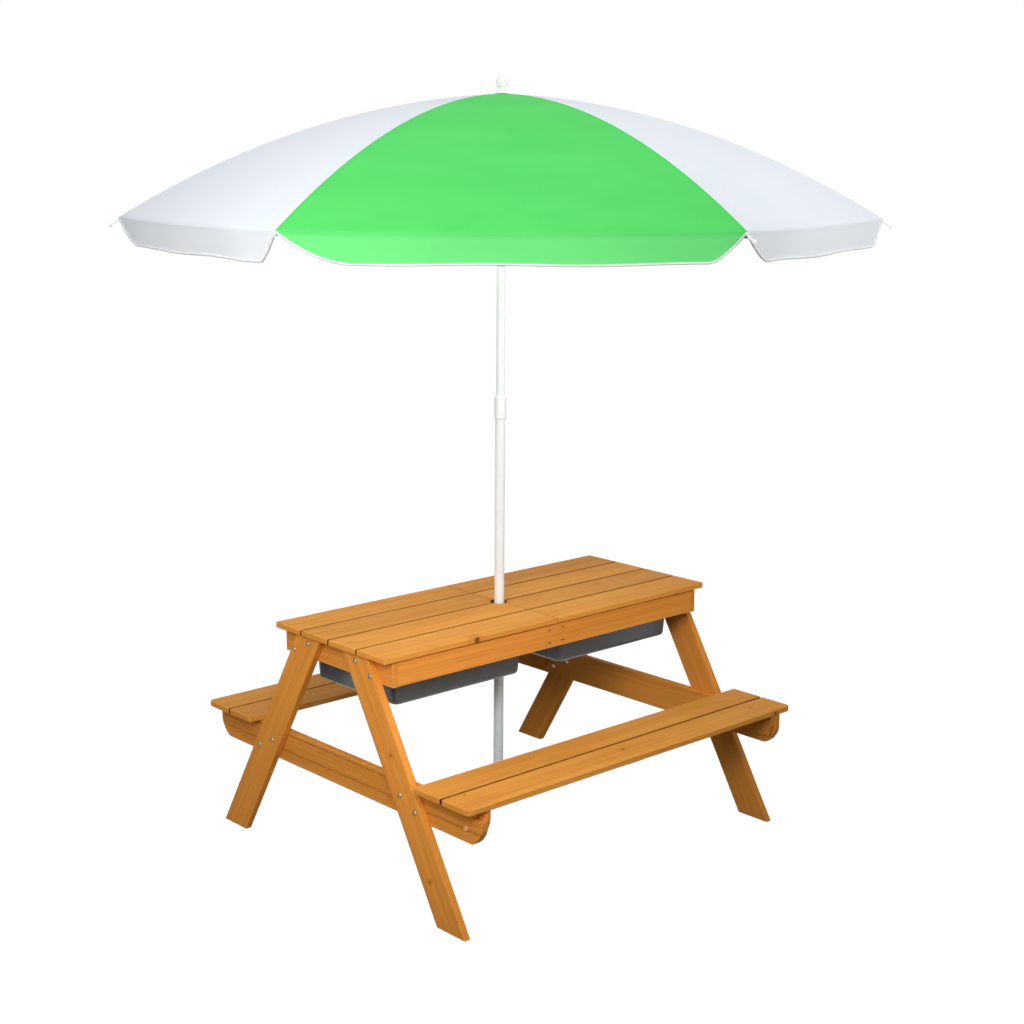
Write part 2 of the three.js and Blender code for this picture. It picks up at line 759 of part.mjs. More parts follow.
// The runner: a sleeve that slides on the upper pole, with a slotted head for the stretchers.
function buildRunner() {
  const bore = upperPoleRadius + pinGap;
  const sleeve = bore + runnerSleeveWall;
  const headBottom = runnerHingeHeight - runnerHeadHeight / 2;
  const headTop = runnerHingeHeight + runnerHeadHeight / 2;
  const sleeveBottom = headBottom - runnerSleeveLength;
  const hub = toSolid(
    turned([
      [bore, sleeveBottom],
      [sleeve - runnerEase, sleeveBottom],
      [sleeve, sleeveBottom + runnerEase],
      [sleeve, headBottom - runnerEase],
      [runnerRadius - runnerEase, headBottom],
      [runnerRadius, headBottom + runnerEase],
      [runnerRadius, headTop - runnerEase],
      [runnerRadius - runnerEase, headTop],
      [bore, headTop],
      [bore, sleeveBottom],
    ]),
  );
  return slottedHub(hub, {
    inner: sleeve,
    outer: runnerRadius,
    low: headBottom,
    high: headTop,
    width: stretcherThickness + 2 * pinGap,
    side: stretcherSide,
    pinReach: runnerHingeReach,
    pinHeight: runnerHingeHeight,
  });
}

// Where the cloth's columns lie across a gore, as shares of its width: close together at the corners.
function columnShares() {
  const side = [0];
  for (let i = 0; i <= cornerSteps; i += 1) {
    const run = valanceCornerRun * (1 - Math.cos((i / cornerSteps) * (Math.PI / 2)));
    side.push((hemLength + run) / goreWidth);
  }
  const middle = [];
  const first = side[side.length - 1];
  for (let i = 1; i < middleColumns; i += 1) {
    middle.push(first + ((1 - 2 * first) * i) / middleColumns);
  }
  return [...side, ...middle, ...side.map((share) => 1 - share).reverse()];
}

// How far the valance hangs at a distance from the gore's nearer rib.
function valanceFall(distance) {
  const run = 1 - Math.min(Math.max(distance - hemLength, 0) / valanceCornerRun, 1);
  const fallShare = (1 - run ** valanceCornerPower) ** (1 / valanceCornerPower);
  return hemDepth + (valanceDepth - hemDepth) * fallShare;
}

// Where the cloth's rows lie along a rib: the hole, the crown's edge, and even steps from there to the rim.
function rowReaches() {
  const reaches = [apexHoleRadius];
  for (let i = 0; i <= clothRows; i += 1) {
    reaches.push(crownCloth + ((canopyRadius - crownCloth) * i) / clothRows);
  }
  return reaches;
}

// One gore of cloth about +X: a panel stretched between two ribs, and the valance that hangs from it.
function buildGore() {
  const shares = columnShares();
  const reaches = rowReaches();
  const outside = [];
  const inside = [];
  // A point at a distance along the gore's middle, as far across it as its share says.
  const place = (x, share, z) => {
    const halfWidth = x * Math.tan(halfGore) - seamGap;
    return new THREE.Vector3(x, (2 * share - 1) * halfWidth, z);
  };
  reaches.forEach((reach, row) => {
    const x = reach * Math.cos(halfGore);
    const z = clothHeight(reach);
    const innerX = row === reaches.length - 1 ? x - clothThickness : x;
    outside.push(shares.map((share) => place(x, share, z)));
    inside.push(shares.map((share) => place(innerX, share, z - clothThickness)));
  });
  const rimX = canopyRadius * Math.cos(halfGore);
  const rimZ = clothHeight(canopyRadius);
  for (let row = 1; row <= valanceRows; row += 1) {
    const hang = (share, inset) => {
      const fall = valanceFall(Math.min(share, 1 - share) * goreWidth) - inset;
      return place(rimX - inset, share, rimZ - inset - (fall * row) / valanceRows);
    };
    outside.push(shares.map((share) => hang(share, 0)));
    inside.push(shares.map((share) => hang(share, clothThickness)));
  }
  const columns = shares.length;
  const rows = outside.length;
  const positions = [...outside, ...inside].flat().flatMap((point) => [point.x, point.y, point.z]);
  const under = rows * columns;
  const faces = [];
  const quad = (a, b, c, d) => faces.push(a, b, c, a, c, d);
  for (let j = 0; j < rows - 1; j += 1) {
    for (let i = 0; i < columns - 1; i += 1) {
      const a = j * columns + i;
      quad(a, a + columns, a + columns + 1, a + 1);
      quad(under + a, under + a + 1, under + a + columns + 1, under + a + columns);
    }
    const left = j * columns;
    const right = left + columns - 1;
    quad(left, under + left, under + left + columns, left + columns);
    quad(right, right + columns, under + right + columns, under + right);
  }
  for (let i = 0; i < columns - 1; i += 1) {
    const low = (rows - 1) * columns + i;
    quad(i, i + 1, under + i + 1, under + i);
    quad(low, under + low, under + low + 1, low + 1);
  }
  const geometry = new THREE.BufferGeometry();
  geometry.setAttribute("position", new THREE.Float32BufferAttribute(positions, 3));
  geometry.setIndex(faces);
  geometry.computeVertexNormals();
  return geometry;
}

// The lower pole: a plugged tube with an inner stop for the upper pole and a pin that rests on the dividers.
function buildLowerPole() {
  const stop = upperPoleBottom - seatGap;
  const tube = turned([
    [0, poleFoot],
    [poleRadius, poleFoot],
    [poleRadius, poleJoint],
    [lowerBoreRadius, poleJoint],
    [lowerBoreRadius, stop],
    [lowerBoreRadius - poleStopRise, stop],
    [lowerBoreRadius - poleStopRise, stop - poleStopHeight],
    [lowerBoreRadius, stop - poleStopHeight],
    [lowerBoreRadius, poleFoot + polePlug],
    [0, poleFoot + polePlug],
  ]);
  const pinCentre = new THREE.Vector3(0, 0, frameTop + seatGap + crossPinRadius);
  const pin = rod("x", crossPinRadius, crossPinLength, pinCentre, smallRoundSteps);
  return toGeometry(toSolid(tube).add(toSolid(pin)));
}

// The collar: a sleeve over the lower pole's end that closes in round the upper pole.
function buildCollar() {
  const outer = poleRadius + seatGap + collarWall;
  const top = poleJoint + collarLip;
  const bottom = top - collarLength;
  const step = poleJoint + seatGap;
  const wide = poleRadius + seatGap;
  const narrow = upperPoleRadius + seatGap;
  return turned([
    [wide, bottom],
    [outer - collarEase, bottom],
    [outer, bottom + collarEase],
    [outer, top - collarEase],
    [outer - collarEase, top],
    [narrow, top],
    [narrow, step],
    [wide, step],
    [wide, bottom],
  ]);
}

// The upper pole: a tube from its stop in the lower pole to the crown.
function buildUpperPole() {
  const bore = upperPoleRadius - upperPoleWall;
  return turned([
    [bore, upperPoleBottom],
    [upperPoleRadius, upperPoleBottom],
    [upperPoleRadius, upperPoleTop],
    [bore, upperPoleTop],
    [bore, upperPoleBottom],
  ]);
}

// The finial: a ball on a flange that clamps the cloth, with a stud down into the crown.
function buildFinial() {
  const base = apexHeight + seatGap;
  const ballCentre = finialTop - finialBallRadius;
  const ballStart = Math.asin(finialNeckRadius / finialBallRadius);
  const profile = [
    [0, base - finialStudLength],
    [finialStudRadius, base - finialStudLength],
    [finialStudRadius, base],
    [finialBaseRadius, base],
    [finialBaseRadius, base + finialBaseHeight / 2],
    [finialNeckRadius, base + finialBaseHeight],
  ];
  const steps = smallRoundSteps / 2;
  for (let i = 0; i <= steps; i += 1) {
    const angle = ballStart + ((Math.PI - ballStart) * i) / steps;
    const radius = i === steps ? 0 : finialBallRadius * Math.sin(angle);
    profile.push([radius, ballCentre - finialBallRadius * Math.cos(angle)]);
  }
  return turned(profile);
}

// The umbrella: the pole, its fittings, and six ribs, stretchers and gores spaced round it.
function buildUmbrella() {
  const umbrella = new THREE.Group();
  addPiece(umbrella, "lower_pole", buildLowerPole(), finishes.pole);
  addPiece(umbrella, "pole_collar", buildCollar(), finishes.fitting);
  addPiece(umbrella, "upper_pole", buildUpperPole(), finishes.pole);
  addPiece(umbrella, "crown", buildCrown(), finishes.fitting);
  addPiece(umbrella, "finial", buildFinial(), finishes.fitting);
  addPiece(umbrella, "runner", buildRunner(), finishes.fitting);
  const rib = buildRib();
  const stretcher = buildStretcher();
  const gore = buildGore();
  for (let i = 0; i < ribCount; i += 1) {
    const angle = firstRibAngle + (i * 2 * Math.PI) / ribCount;
    const spoke = new THREE.Group();
    spoke.rotation.z = angle;
    addPiece(spoke, `rib_${i + 1}`, rib, finishes.rib);
    addPiece(spoke, `stretcher_${i + 1}`, stretcher, finishes.rib);
    umbrella.add(spoke);
    const cloth = i % 2 === 0 ? finishes.white : finishes.green;
    const panel = addPiece(umbrella, `canopy_gore_${i + 1}`, gore, cloth);
    panel.rotation.z = angle + Math.PI / ribCount;
  }
  return umbrella;
}

// The whole table.
function buildTable() {
  const table = new THREE.Group();
  table.name = "picnic_table_with_sandbox";
  table.add(buildFrame(), buildLegs(), buildBeams());
  table.add(buildTop("left"), buildTop("right"));
  table.add(buildBench("front"), buildBench("back"));
  for (const [side, sign] of Object.entries({ left: -1, right: 1 })) {
    const bin = addPiece(table, `${side}_sand_bin`, buildBin(), finishes.bin);
    bin.position.x = sign * binCentre;
  }
  table.add(buildUmbrella());
  return table;
}

export default buildTable();
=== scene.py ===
"""Looks of a child's picnic table with two sand bins and a folding umbrella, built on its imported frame."""

import logging
import math
from dataclasses import dataclass, field
from enum import Enum

import bmesh
import bpy
from mathutils import Matrix, Vector


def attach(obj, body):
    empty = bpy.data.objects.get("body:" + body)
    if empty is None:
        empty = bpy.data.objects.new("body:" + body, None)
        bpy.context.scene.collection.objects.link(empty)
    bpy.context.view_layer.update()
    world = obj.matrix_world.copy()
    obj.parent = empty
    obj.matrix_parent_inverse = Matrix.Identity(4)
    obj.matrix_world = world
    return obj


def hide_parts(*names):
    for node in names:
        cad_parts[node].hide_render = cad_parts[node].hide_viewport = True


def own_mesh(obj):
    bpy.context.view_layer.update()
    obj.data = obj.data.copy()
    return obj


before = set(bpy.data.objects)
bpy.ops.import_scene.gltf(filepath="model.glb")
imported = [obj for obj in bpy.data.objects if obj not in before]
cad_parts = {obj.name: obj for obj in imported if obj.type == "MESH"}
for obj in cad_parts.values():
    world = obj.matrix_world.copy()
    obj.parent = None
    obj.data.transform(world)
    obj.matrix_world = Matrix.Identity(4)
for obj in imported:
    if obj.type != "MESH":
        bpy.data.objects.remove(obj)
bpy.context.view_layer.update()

log = logging.getLogger("picnic_table")

MM = 0.001
Colour = tuple[float, float, float]
Place = tuple[float, float, float]
Span = tuple[float, float]
Noise = tuple[float, float, float]
GORES = 6
MID_NOISE = 0.5
MERGE_DISTANCE = 0.001 * MM
HAIR = 0.0001 * MM


def from_display(red: int, green: int, blue: int) -> Colour:
    """Turns a display colour, 0 to 255 a channel, into a shader's linear one by the sRGB curve."""
    channels = []
    for level in (red, green, blue):
        share = level / 255
        channels.append(share / 12.92 if share <= 0.04045 else ((share + 0.055) / 1.055) ** 2.4)
    return channels[0], channels[1], channels[2]


def tinted(colour: Colour, tint: Colour) -> Colour:
    """Multiplies a linear colour by a tint, channel by channel."""
    return colour[0] * tint[0], colour[1] * tint[1], colour[2] * tint[2]


class Grain(Enum):
    """The way that the grain of a board runs."""

    ALONG_X = "x"
    ALONG_Y = "y"
    LEG_FRONT = "front leg"
    LEG_BACK = "back leg"


class Wire:
    """A socket of a shader tree that takes part in Python expressions."""

    def __init__(self, tree: "ShaderTree", socket: bpy.types.NodeSocket) -> None:
        """Wraps an output socket of the tree."""
        self.tree = tree
        self.socket = socket

    def __add__(self, other: "Wire | float") -> "Wire":
        """Adds two values."""
        return self.tree.maths("ADD", self, other)

    def __sub__(self, other: "Wire | float") -> "Wire":
        """Takes a value away from this one."""
        return self.tree.maths("SUBTRACT", self, other)

    def __rsub__(self, other: float) -> "Wire":
        """Takes this value away from a number."""
        return self.tree.maths("SUBTRACT", other, self)

    def __mul__(self, other: "Wire | float") -> "Wire":
        """Multiplies two values."""
        return self.tree.maths("MULTIPLY", self, other)

    def __truediv__(self, other: "Wire | float") -> "Wire":
        """Divides this value by another."""
        return self.tree.maths("DIVIDE", self, other)

    def __pow__(self, other: float) -> "Wire":
        """Raises this value to a power."""
        return self.tree.maths("POWER", self, other)

    def __abs__(self) -> "Wire":
        """Gives the value without its sign."""
        return self.tree.maths("ABSOLUTE", self)

    __radd__ = __add__
    __rmul__ = __mul__


class ShaderTree:
    """The node tree of one material or of the sky."""

    def __init__(self, owner: bpy.types.Material | bpy.types.World) -> None:
        """Empties the node tree of a material or a sky."""
        self.owner = owner
        owner.use_nodes = True
        owner.node_tree.nodes.clear()

    def node(self, kind: str, settings: dict | None = None, inputs: dict | None = None) -> bpy.types.Node:
        """Makes a node.

        Args:
            kind: The node's type.
            settings: Its properties.
            inputs: Values or wires by socket name or identifier.

        Returns:
            The new node.
        """
        made = self.owner.node_tree.nodes.new(kind)
        for name, value in (settings or {}).items():
            setattr(made, name, value)
        for name, value in (inputs or {}).items():
            socket = next(s for s in made.inputs if name in (s.identifier, s.name))
            if isinstance(value, Wire):
                self.owner.node_tree.links.new(value.socket, socket)
            else:
                socket.default_value = value
        return made

    def output(self, made: bpy.types.Node, name: str) -> Wire:
        """Gives an output of a node as a wire, by its identifier."""
        return Wire(self, next(s for s in made.outputs if s.identifier == name))

    def maths(self, operation: str, *values: "Wire | float", clamp: bool = False) -> Wire:
        """Adds a Math node.

        Args:
            operation: The node's operation.
            values: Its values or wires, in order.
            clamp: Whether the result is kept from 0 to 1.

        Returns:
            The result.
        """
        sockets = ("Value", "Value_001", "Value_002")
        settings = {"operation": operation, "use_clamp": clamp}
        return self.output(self.node("ShaderNodeMath", settings, dict(zip(sockets, values))), "Value")

    def step(self, value: "Wire | float", low: float, high: float) -> Wire:
        """Gives 0 below low and 1 above high, with a smooth change between them."""
        settings = {"interpolation_type": "SMOOTHSTEP"}
        made = self.node("ShaderNodeMapRange", settings, {"Value": value, "From Min": low, "From Max": high})
        return self.output(made, "Result")

    def mix(self, share: "Wire | float", first: "Wire | Colour", second: "Wire | Colour") -> Wire:
        """Mixes two colours.

        Args:
            share: How much of the second colour shows.
            first: A colour.
            second: Another colour.

        Returns:
            The mixed colour.
        """
        colours = [c if isinstance(c, Wire) else (*c, 1.0) for c in (first, second)]
        inputs = {"Factor_Float": share, "A_Color": colours[0], "B_Color": colours[1]}
        return self.output(self.node("ShaderNodeMix", {"data_type": "RGBA"}, inputs), "Result_Color")

    def mix_surfaces(self, share: Wire, first: Wire, second: Wire) -> Wire:
        """Mixes two surfaces, where the share tells how much of the second shows."""
        inputs = {"Fac": share, "Shader": first, "Shader_001": second}
        return self.output(self.node("ShaderNodeMixShader", None, inputs), "Shader")

    def seen_directly(self) -> Wire:
        """Gives 1 where the camera, a reflection or glass sees the surface, and 0 where it only lights."""
        path = self.node("ShaderNodeLightPath")
        seen = self.output(path, "Is Camera Ray")
        for ray in ("Is Glossy Ray", "Is Transmission Ray"):
            seen = self.maths("MAXIMUM", seen, self.output(path, ray))
        return seen

    def distance(self, first: Wire, second: Place) -> Wire:
        """Gives how far apart two places are."""
        inputs = {"Vector": first, "Vector_001": second}
        return self.output(self.node("ShaderNodeVectorMath", {"operation": "DISTANCE"}, inputs), "Value")

    def point(self) -> Wire:
        """Gives the place on the piece, in metres."""
        return self.output(self.node("ShaderNodeTexCoord"), "Object")

    def facing(self) -> Wire:
        """Gives the way that the surface faces, in the piece's own axes."""
        return self.output(self.node("ShaderNodeTexCoord"), "Normal")

    def cloth_place(self) -> Wire:
        """Gives the piece's own map of the flat cloth, in metres."""
        return self.output(self.node("ShaderNodeUVMap", {"uv_map": "flat"}), "UV")

    def moved(
        self, point: Wire, location: Place = (0, 0, 0), turn: Place = (0, 0, 0), scale: Place = (1, 1, 1)
    ) -> Wire:
        """Scales, turns and then moves a pattern's place."""
        inputs = {"Vector": point, "Location": location, "Rotation": turn, "Scale": scale}
        return self.output(self.node("ShaderNodeMapping", {"vector_type": "POINT"}, inputs), "Vector")

    def split(self, point: Wire) -> tuple[Wire, Wire, Wire]:
        """Splits a vector into its three parts."""
        made = self.node("ShaderNodeSeparateXYZ", None, {"Vector": point})
        return self.output(made, "X"), self.output(made, "Y"), self.output(made, "Z")

    def noise(self, point: Wire, scale: float, detail: float = 2.0, rough: float = 0.5) -> Wire:
        """Gives a smooth noise from 0 to 1 about the place."""
        inputs = {"Vector": point, "Scale": scale, "Detail": detail, "Roughness": rough}
        made = self.node("ShaderNodeTexNoise", {"noise_dimensions": "3D"}, inputs)
        return self.output(made, "Fac")

    def bump(self, height: Wire, depth: float, strength: float = 0.5) -> Wire:
        """Turns a height from 0 to 1 into a surface direction, depth in metres."""
        made = self.node("ShaderNodeBump", None, {"Height": height, "Distance": depth, "Strength": strength})
        return self.output(made, "Normal")

    def finish(self, **inputs: "Wire | float | Colour") -> bpy.types.Material:
        """Ends the tree in one surface shader.

        Args:
            inputs: The shader's values by socket name, with underscores for spaces.

        Returns:
            The material.
        """
        values = {}
        for name, value in inputs.items():
            is_colour = isinstance(value, tuple) and len(value) == 3
            values[name.replace("_", " ")] = (*value, 1.0) if is_colour else value
        shader = self.node("ShaderNodeBsdfPrincipled", None, values)
        self.node("ShaderNodeOutputMaterial", None, {"Surface": self.output(shader, "BSDF")})
        return self.owner


@dataclass(frozen=True)
class PaintedShadeBands:
    """Level lines of painted shade, in the beams' grooves and under the top's overhang: their heights, the
    axis and place of their face, and their share.
    """

    heights: tuple[float, ...]
    axis: int
    face: float
    share: float


@dataclass(frozen=True)
class StainedPine:
    """Pine boards under a honey stain, with soft rings, fine fibres and a few small knots, and painted shade
    in the gaps between boards, in the grooves and under the top's overhang.

    A share tells how strongly a pattern shows, and a span where it starts and ends. The relief is the height
    of the fibres, the soft wood and the streaks. Width and depth are folded to keep the pith close.
    """

    name: str
    grain: Grain
    seed: float
    light: Colour
    dark: Colour
    knots: tuple[tuple[Place, float], ...] = ()
    # the span of sides facing narrow gaps, where shade is painted
    shaded_gap_sides: Span | None = None
    # the level lines of painted shade, in grooves and under the top's overhang
    shade_bands: PaintedShadeBands | None = None
    lean: float = math.radians(30.5)
    # painted shade: the dark colour laid on the sides that face gaps between boards, in the beams' grooves
    # and under the top's overhang
    painted_shade_colour: Colour = from_display(78, 32, 6)
    knot_colour: Colour = from_display(92, 50, 20)
    seed_shift: Place = (3.1, 0.37, 0.21)
    streak_scale: Place = (2.4, 110.0, 110.0)
    streak_noise: Noise = (1.0, 3.0, 0.6)
    fibre_scale: Place = (17.0, 820.0, 820.0)
    fibre_noise: Noise = (1.0, 2.0, 0.6)
    patch_scale: Place = (1.7, 12.0, 12.0)
    wander_scale: Place = (2.2, 9.0, 9.0)
    stain: float = 0.33
    streak_share: float = 1.15
    patch_share: float = 0.9
    fibre_share: float = 0.55
    ring_share: float = 0.2
    end_facing: Span = (0.8, 0.97)
    end_share: float = 0.3
    side_facing: Span = (0.5, 0.85)
    # the width of each painted shade line, and the reach and share of the painted shade at the top's middle
    # joint
    groove_width: Span = (0.8 * MM, 3.2 * MM)
    middle_reach: Span = (4 * MM, 6 * MM)
    middle_shade_share: float = 0.7
    knot_around: Span = (1.0, 4.6)
    knot_inside: Span = (0.55, 1.05)
    knot_shares: Span = (0.55, 0.85)
    relief: Place = (0.5, 0.25, 0.3)
    relief_depth: float = 0.18 * MM
    rough: float = 0.55
    rough_swing: float = 0.25
    shine: float = 0.06
    ring_gap: float = 0.011
    ring_rise: Span = (0.35, 0.92)
    ring_fall: Span = (0.93, 1.0)
    ring_wander: float = 0.03
    ring_climb: float = 0.012
    knot_swirl: float = 0.008
    fold_shift: float = 0.5
    side_fold: float = 0.09
    deep_fold: float = 0.06
    pith_depth: float = 0.045
    pith_swing: Span = (0.03, 0.02)
    pith_turn: Span = (7.3, 5.1)

    def along_grain(self, tree: ShaderTree, vector: Wire) -> Wire:
        """Turns a vector so that its X lies along the grain."""
        quarter = math.pi / 2
        turns = {
            Grain.ALONG_X: (0.0, 0.0, 0.0),
            Grain.ALONG_Y: (0.0, 0.0, -quarter),
            Grain.LEG_FRONT: (self.lean, quarter, 0.0),
            Grain.LEG_BACK: (-self.lean, quarter, 0.0),
        }
        return tree.moved(vector, turn=turns[self.grain])

    def material(self) -> bpy.types.Material:
        """Builds the material of these boards."""
        tree = ShaderTree(bpy.data.materials.new(self.name))
        place = tree.point()
        board = self.along_grain(tree, place)
        shifted = tree.moved(board, location=tuple(self.seed * shift for shift in self.seed_shift))
        near_knot, in_knot = self.knot_masks(tree, place)
        rings = self.rings(tree, board, shifted, near_knot)
        streaks = tree.noise(tree.moved(shifted, scale=self.streak_scale), *self.streak_noise)
        fibres = tree.noise(tree.moved(shifted, scale=self.fibre_scale), *self.fibre_noise)
        patches = tree.noise(tree.moved(shifted, scale=self.patch_scale), 1.0)
        depth = self.stain + (streaks - MID_NOISE) * self.streak_share
        depth = depth + (patches - MID_NOISE) * self.patch_share
        depth = depth + (fibres - MID_NOISE) * self.fibre_share
        depth = tree.maths("ADD", depth, rings * self.ring_share, clamp=True)
        colour = tree.mix(depth, self.light, self.dark)
        along = tree.split(self.along_grain(tree, tree.facing()))[0]
        end_grain = tree.step(abs(along), *self.end_facing)
        colour = tree.mix(end_grain * self.end_share, colour, self.dark)
        # painted shade: darker on the sides that face gaps between boards, in the beams' grooves and in a
        # line under the top's overhang
        if self.shaded_gap_sides or self.shade_bands:
            colour = tree.mix(self.painted_shade_lines(tree, place), colour, self.painted_shade_colour)
        colour = tree.mix(near_knot * self.knot_shares[0], colour, self.dark)
        colour = tree.mix(in_knot * self.knot_shares[1], colour, self.knot_colour)
        fibrous, sunken, streaky = self.relief
        height = fibres * fibrous + (1.0 - rings) * sunken + streaks * streaky
        return tree.finish(
            Base_Color=colour,
            Roughness=self.rough + (streaks - MID_NOISE) * self.rough_swing,
            Normal=tree.bump(height, self.relief_depth),
            Specular_IOR_Level=self.shine,
        )

    def painted_shade_lines(self, tree: ShaderTree, place: Wire) -> Wire:
        """Gives where shade is painted: on the sides that face a narrow gap, in the grooves and under the
        top's overhang.

        Args:
            tree: The material's tree.
            place: The place on the board.

        Returns:
            1 where painted shade darkens the surface, and 0 elsewhere.
        """
        x, y, z = tree.split(place)
        # painted shade lines in the beams' grooves, and under the top's overhang on the aprons and end boards
        if self.shade_bands:
            lines = [1.0 - tree.step(abs(z - height), *self.groove_width) for height in self.shade_bands.heights]
            both = tree.maths("MAXIMUM", lines[0], lines[-1])
            face = self.shade_bands.face
            on_face = tree.step(abs((x, y)[self.shade_bands.axis]), face - MM, face + MM)
            return both * on_face * self.shade_bands.share
        # painted shade on the sides that face gaps between slats, and on the ends at the top's middle joint
        near, far = self.shaded_gap_sides
        ahead, sideways, _ = tree.split(tree.facing())
        between = tree.step(abs(y), near, near + MM) * (1.0 - tree.step(abs(y), far - MM, far))
        long_side = between * tree.step(abs(sideways), *self.side_facing)
        middle = tree.step(abs(ahead), *self.side_facing) * (1.0 - tree.step(abs(x), *self.middle_reach))
        return tree.maths("MAXIMUM", long_side, middle * self.middle_shade_share)

    def rings(self, tree: ShaderTree, board: Wire, shifted: Wire, near_knot: Wire) -> Wire:
        """Gives the year rings: 0 in the soft early wood, rising to 1 in the hard late wood.

        Args:
            tree: The material's tree.
            board: The place, with the grain along X.
            shifted: The same place, moved by the board's own seed.
            near_knot: 1 at a knot and 0 away from it.

        Returns:
            The strength of the ring line.
        """
        long, side, deep = tree.split(board)
        pith_side = self.pith_swing[0] * math.sin(self.seed * self.pith_turn[0])
        pith_deep = self.pith_depth + self.pith_swing[1] * math.cos(self.seed * self.pith_turn[1])
        wander = tree.noise(tree.moved(shifted, scale=self.wander_scale), 1.0)
        folded = tree.maths("PINGPONG", side + (self.fold_shift + pith_side), self.side_fold)
        beside = folded - self.side_fold / 2
        below = tree.maths("PINGPONG", deep + self.fold_shift, self.deep_fold) + pith_deep
        span = beside * beside + below**2.0
        radius = span**0.5 + (wander - MID_NOISE) * self.ring_wander + long * self.ring_climb
        share = tree.maths("FRACT", (radius + near_knot * self.knot_swirl) / self.ring_gap)
        return tree.step(share, *self.ring_rise) * (1.0 - tree.step(share, *self.ring_fall))

    def knot_masks(self, tree: ShaderTree, place: Wire) -> tuple[Wire, Wire]:
        """Gives the masks round the knots and in them."""
        masks = []
        for low, high in (self.knot_around, self.knot_inside):
            mask = tree.maths("MULTIPLY", 0.0, 0.0)
            for centre, radius in self.knots:
                away = tree.distance(place, centre)
                mask = tree.maths("MAXIMUM", mask, 1.0 - tree.step(away, radius * low, radius * high))
            masks.append(mask)
        return masks[0], masks[1]


@dataclass(frozen=True)
class PlainFinish:
    """A finish of one colour, clouded by a slow noise and given relief by a fine one.

    A noise is its scale, its detail and its roughness.
    """

    name: str
    colour: Colour
    rough: float
    clouds: Noise = (9.0, 3.0, 0.55)
    cloud_range: Span | None = None
    cloud_share: float = 1.0
    cloud_tint: Colour = (0.86, 0.86, 0.86)
    rough_swing: float = 0.16
    relief: Noise = (900.0, 2.0, 0.5)
    relief_depth: float = 0.08 * MM
    relief_strength: float = 0.5
    metal: float = 0.0
    coat: float = 0.0
    coat_rough: float = 0.03

    def material(self) -> bpy.types.Material:
        """Builds the material."""
        tree = ShaderTree(bpy.data.materials.new(self.name))
        place = tree.point()
        clouds = tree.noise(place, *self.clouds)
        share = tree.step(clouds, *self.cloud_range) * self.cloud_share if self.cloud_range else clouds
        return tree.finish(
            Base_Color=tree.mix(share, self.colour, tinted(self.colour, self.cloud_tint)),
            Metallic=self.metal,
            Roughness=self.rough + (clouds - MID_NOISE) * self.rough_swing,
            Normal=tree.bump(tree.noise(place, *self.relief), self.relief_depth, self.relief_strength),
            Coat_Weight=self.coat,
            Coat_Roughness=self.coat_rough,
        )


@dataclass(frozen=True)
class MouldedPlastic(PlainFinish):
    """Moulded plastic with a fine mould texture."""


@dataclass(frozen=True)
class PowderCoat(PlainFinish):
    """White powder coat on steel tube, with its faint orange peel."""

    rough: float = 0.34
    clouds: Noise = (6.0, 2.0, 0.5)
    cloud_tint: Colour = (0.95, 0.95, 0.95)
    rough_swing: float = 0.1
    relief: Noise = (420.0, 1.0, 0.4)
    relief_depth: float = 0.06 * MM
    coat: float = 0.25
    coat_rough: float = 0.2


@dataclass(frozen=True)
class PlatedSteel(PlainFinish):
    """Zinc-plated or bare spring steel, brushed by handling."""

    clouds: Noise = (160.0, 3.0, 0.6)
    cloud_range: Span | None = (0.35, 0.75)
    cloud_share: float = 0.5
    cloud_tint: Colour = (0.7, 0.7, 0.68)
    rough_swing: float = 0.22
    relief: Noise = (2400.0, 1.0, 0.5)
    relief_depth: float = 0.02 * MM
    relief_strength: float = 0.4
    metal: float = 1.0


@dataclass(frozen=True)
class BindingTape(PlainFinish):
    """The white tape that binds the valance's edge."""

    rough: float = 0.8
    clouds: Noise = (40.0, 2.0, 0.5)
    cloud_tint: Colour = (0.88, 0.88, 0.9)
    rough_swing: float = 0.1
    relief: Noise = (1500.0, 1.0, 0.5)
    relief_depth: float = 0.2 * MM


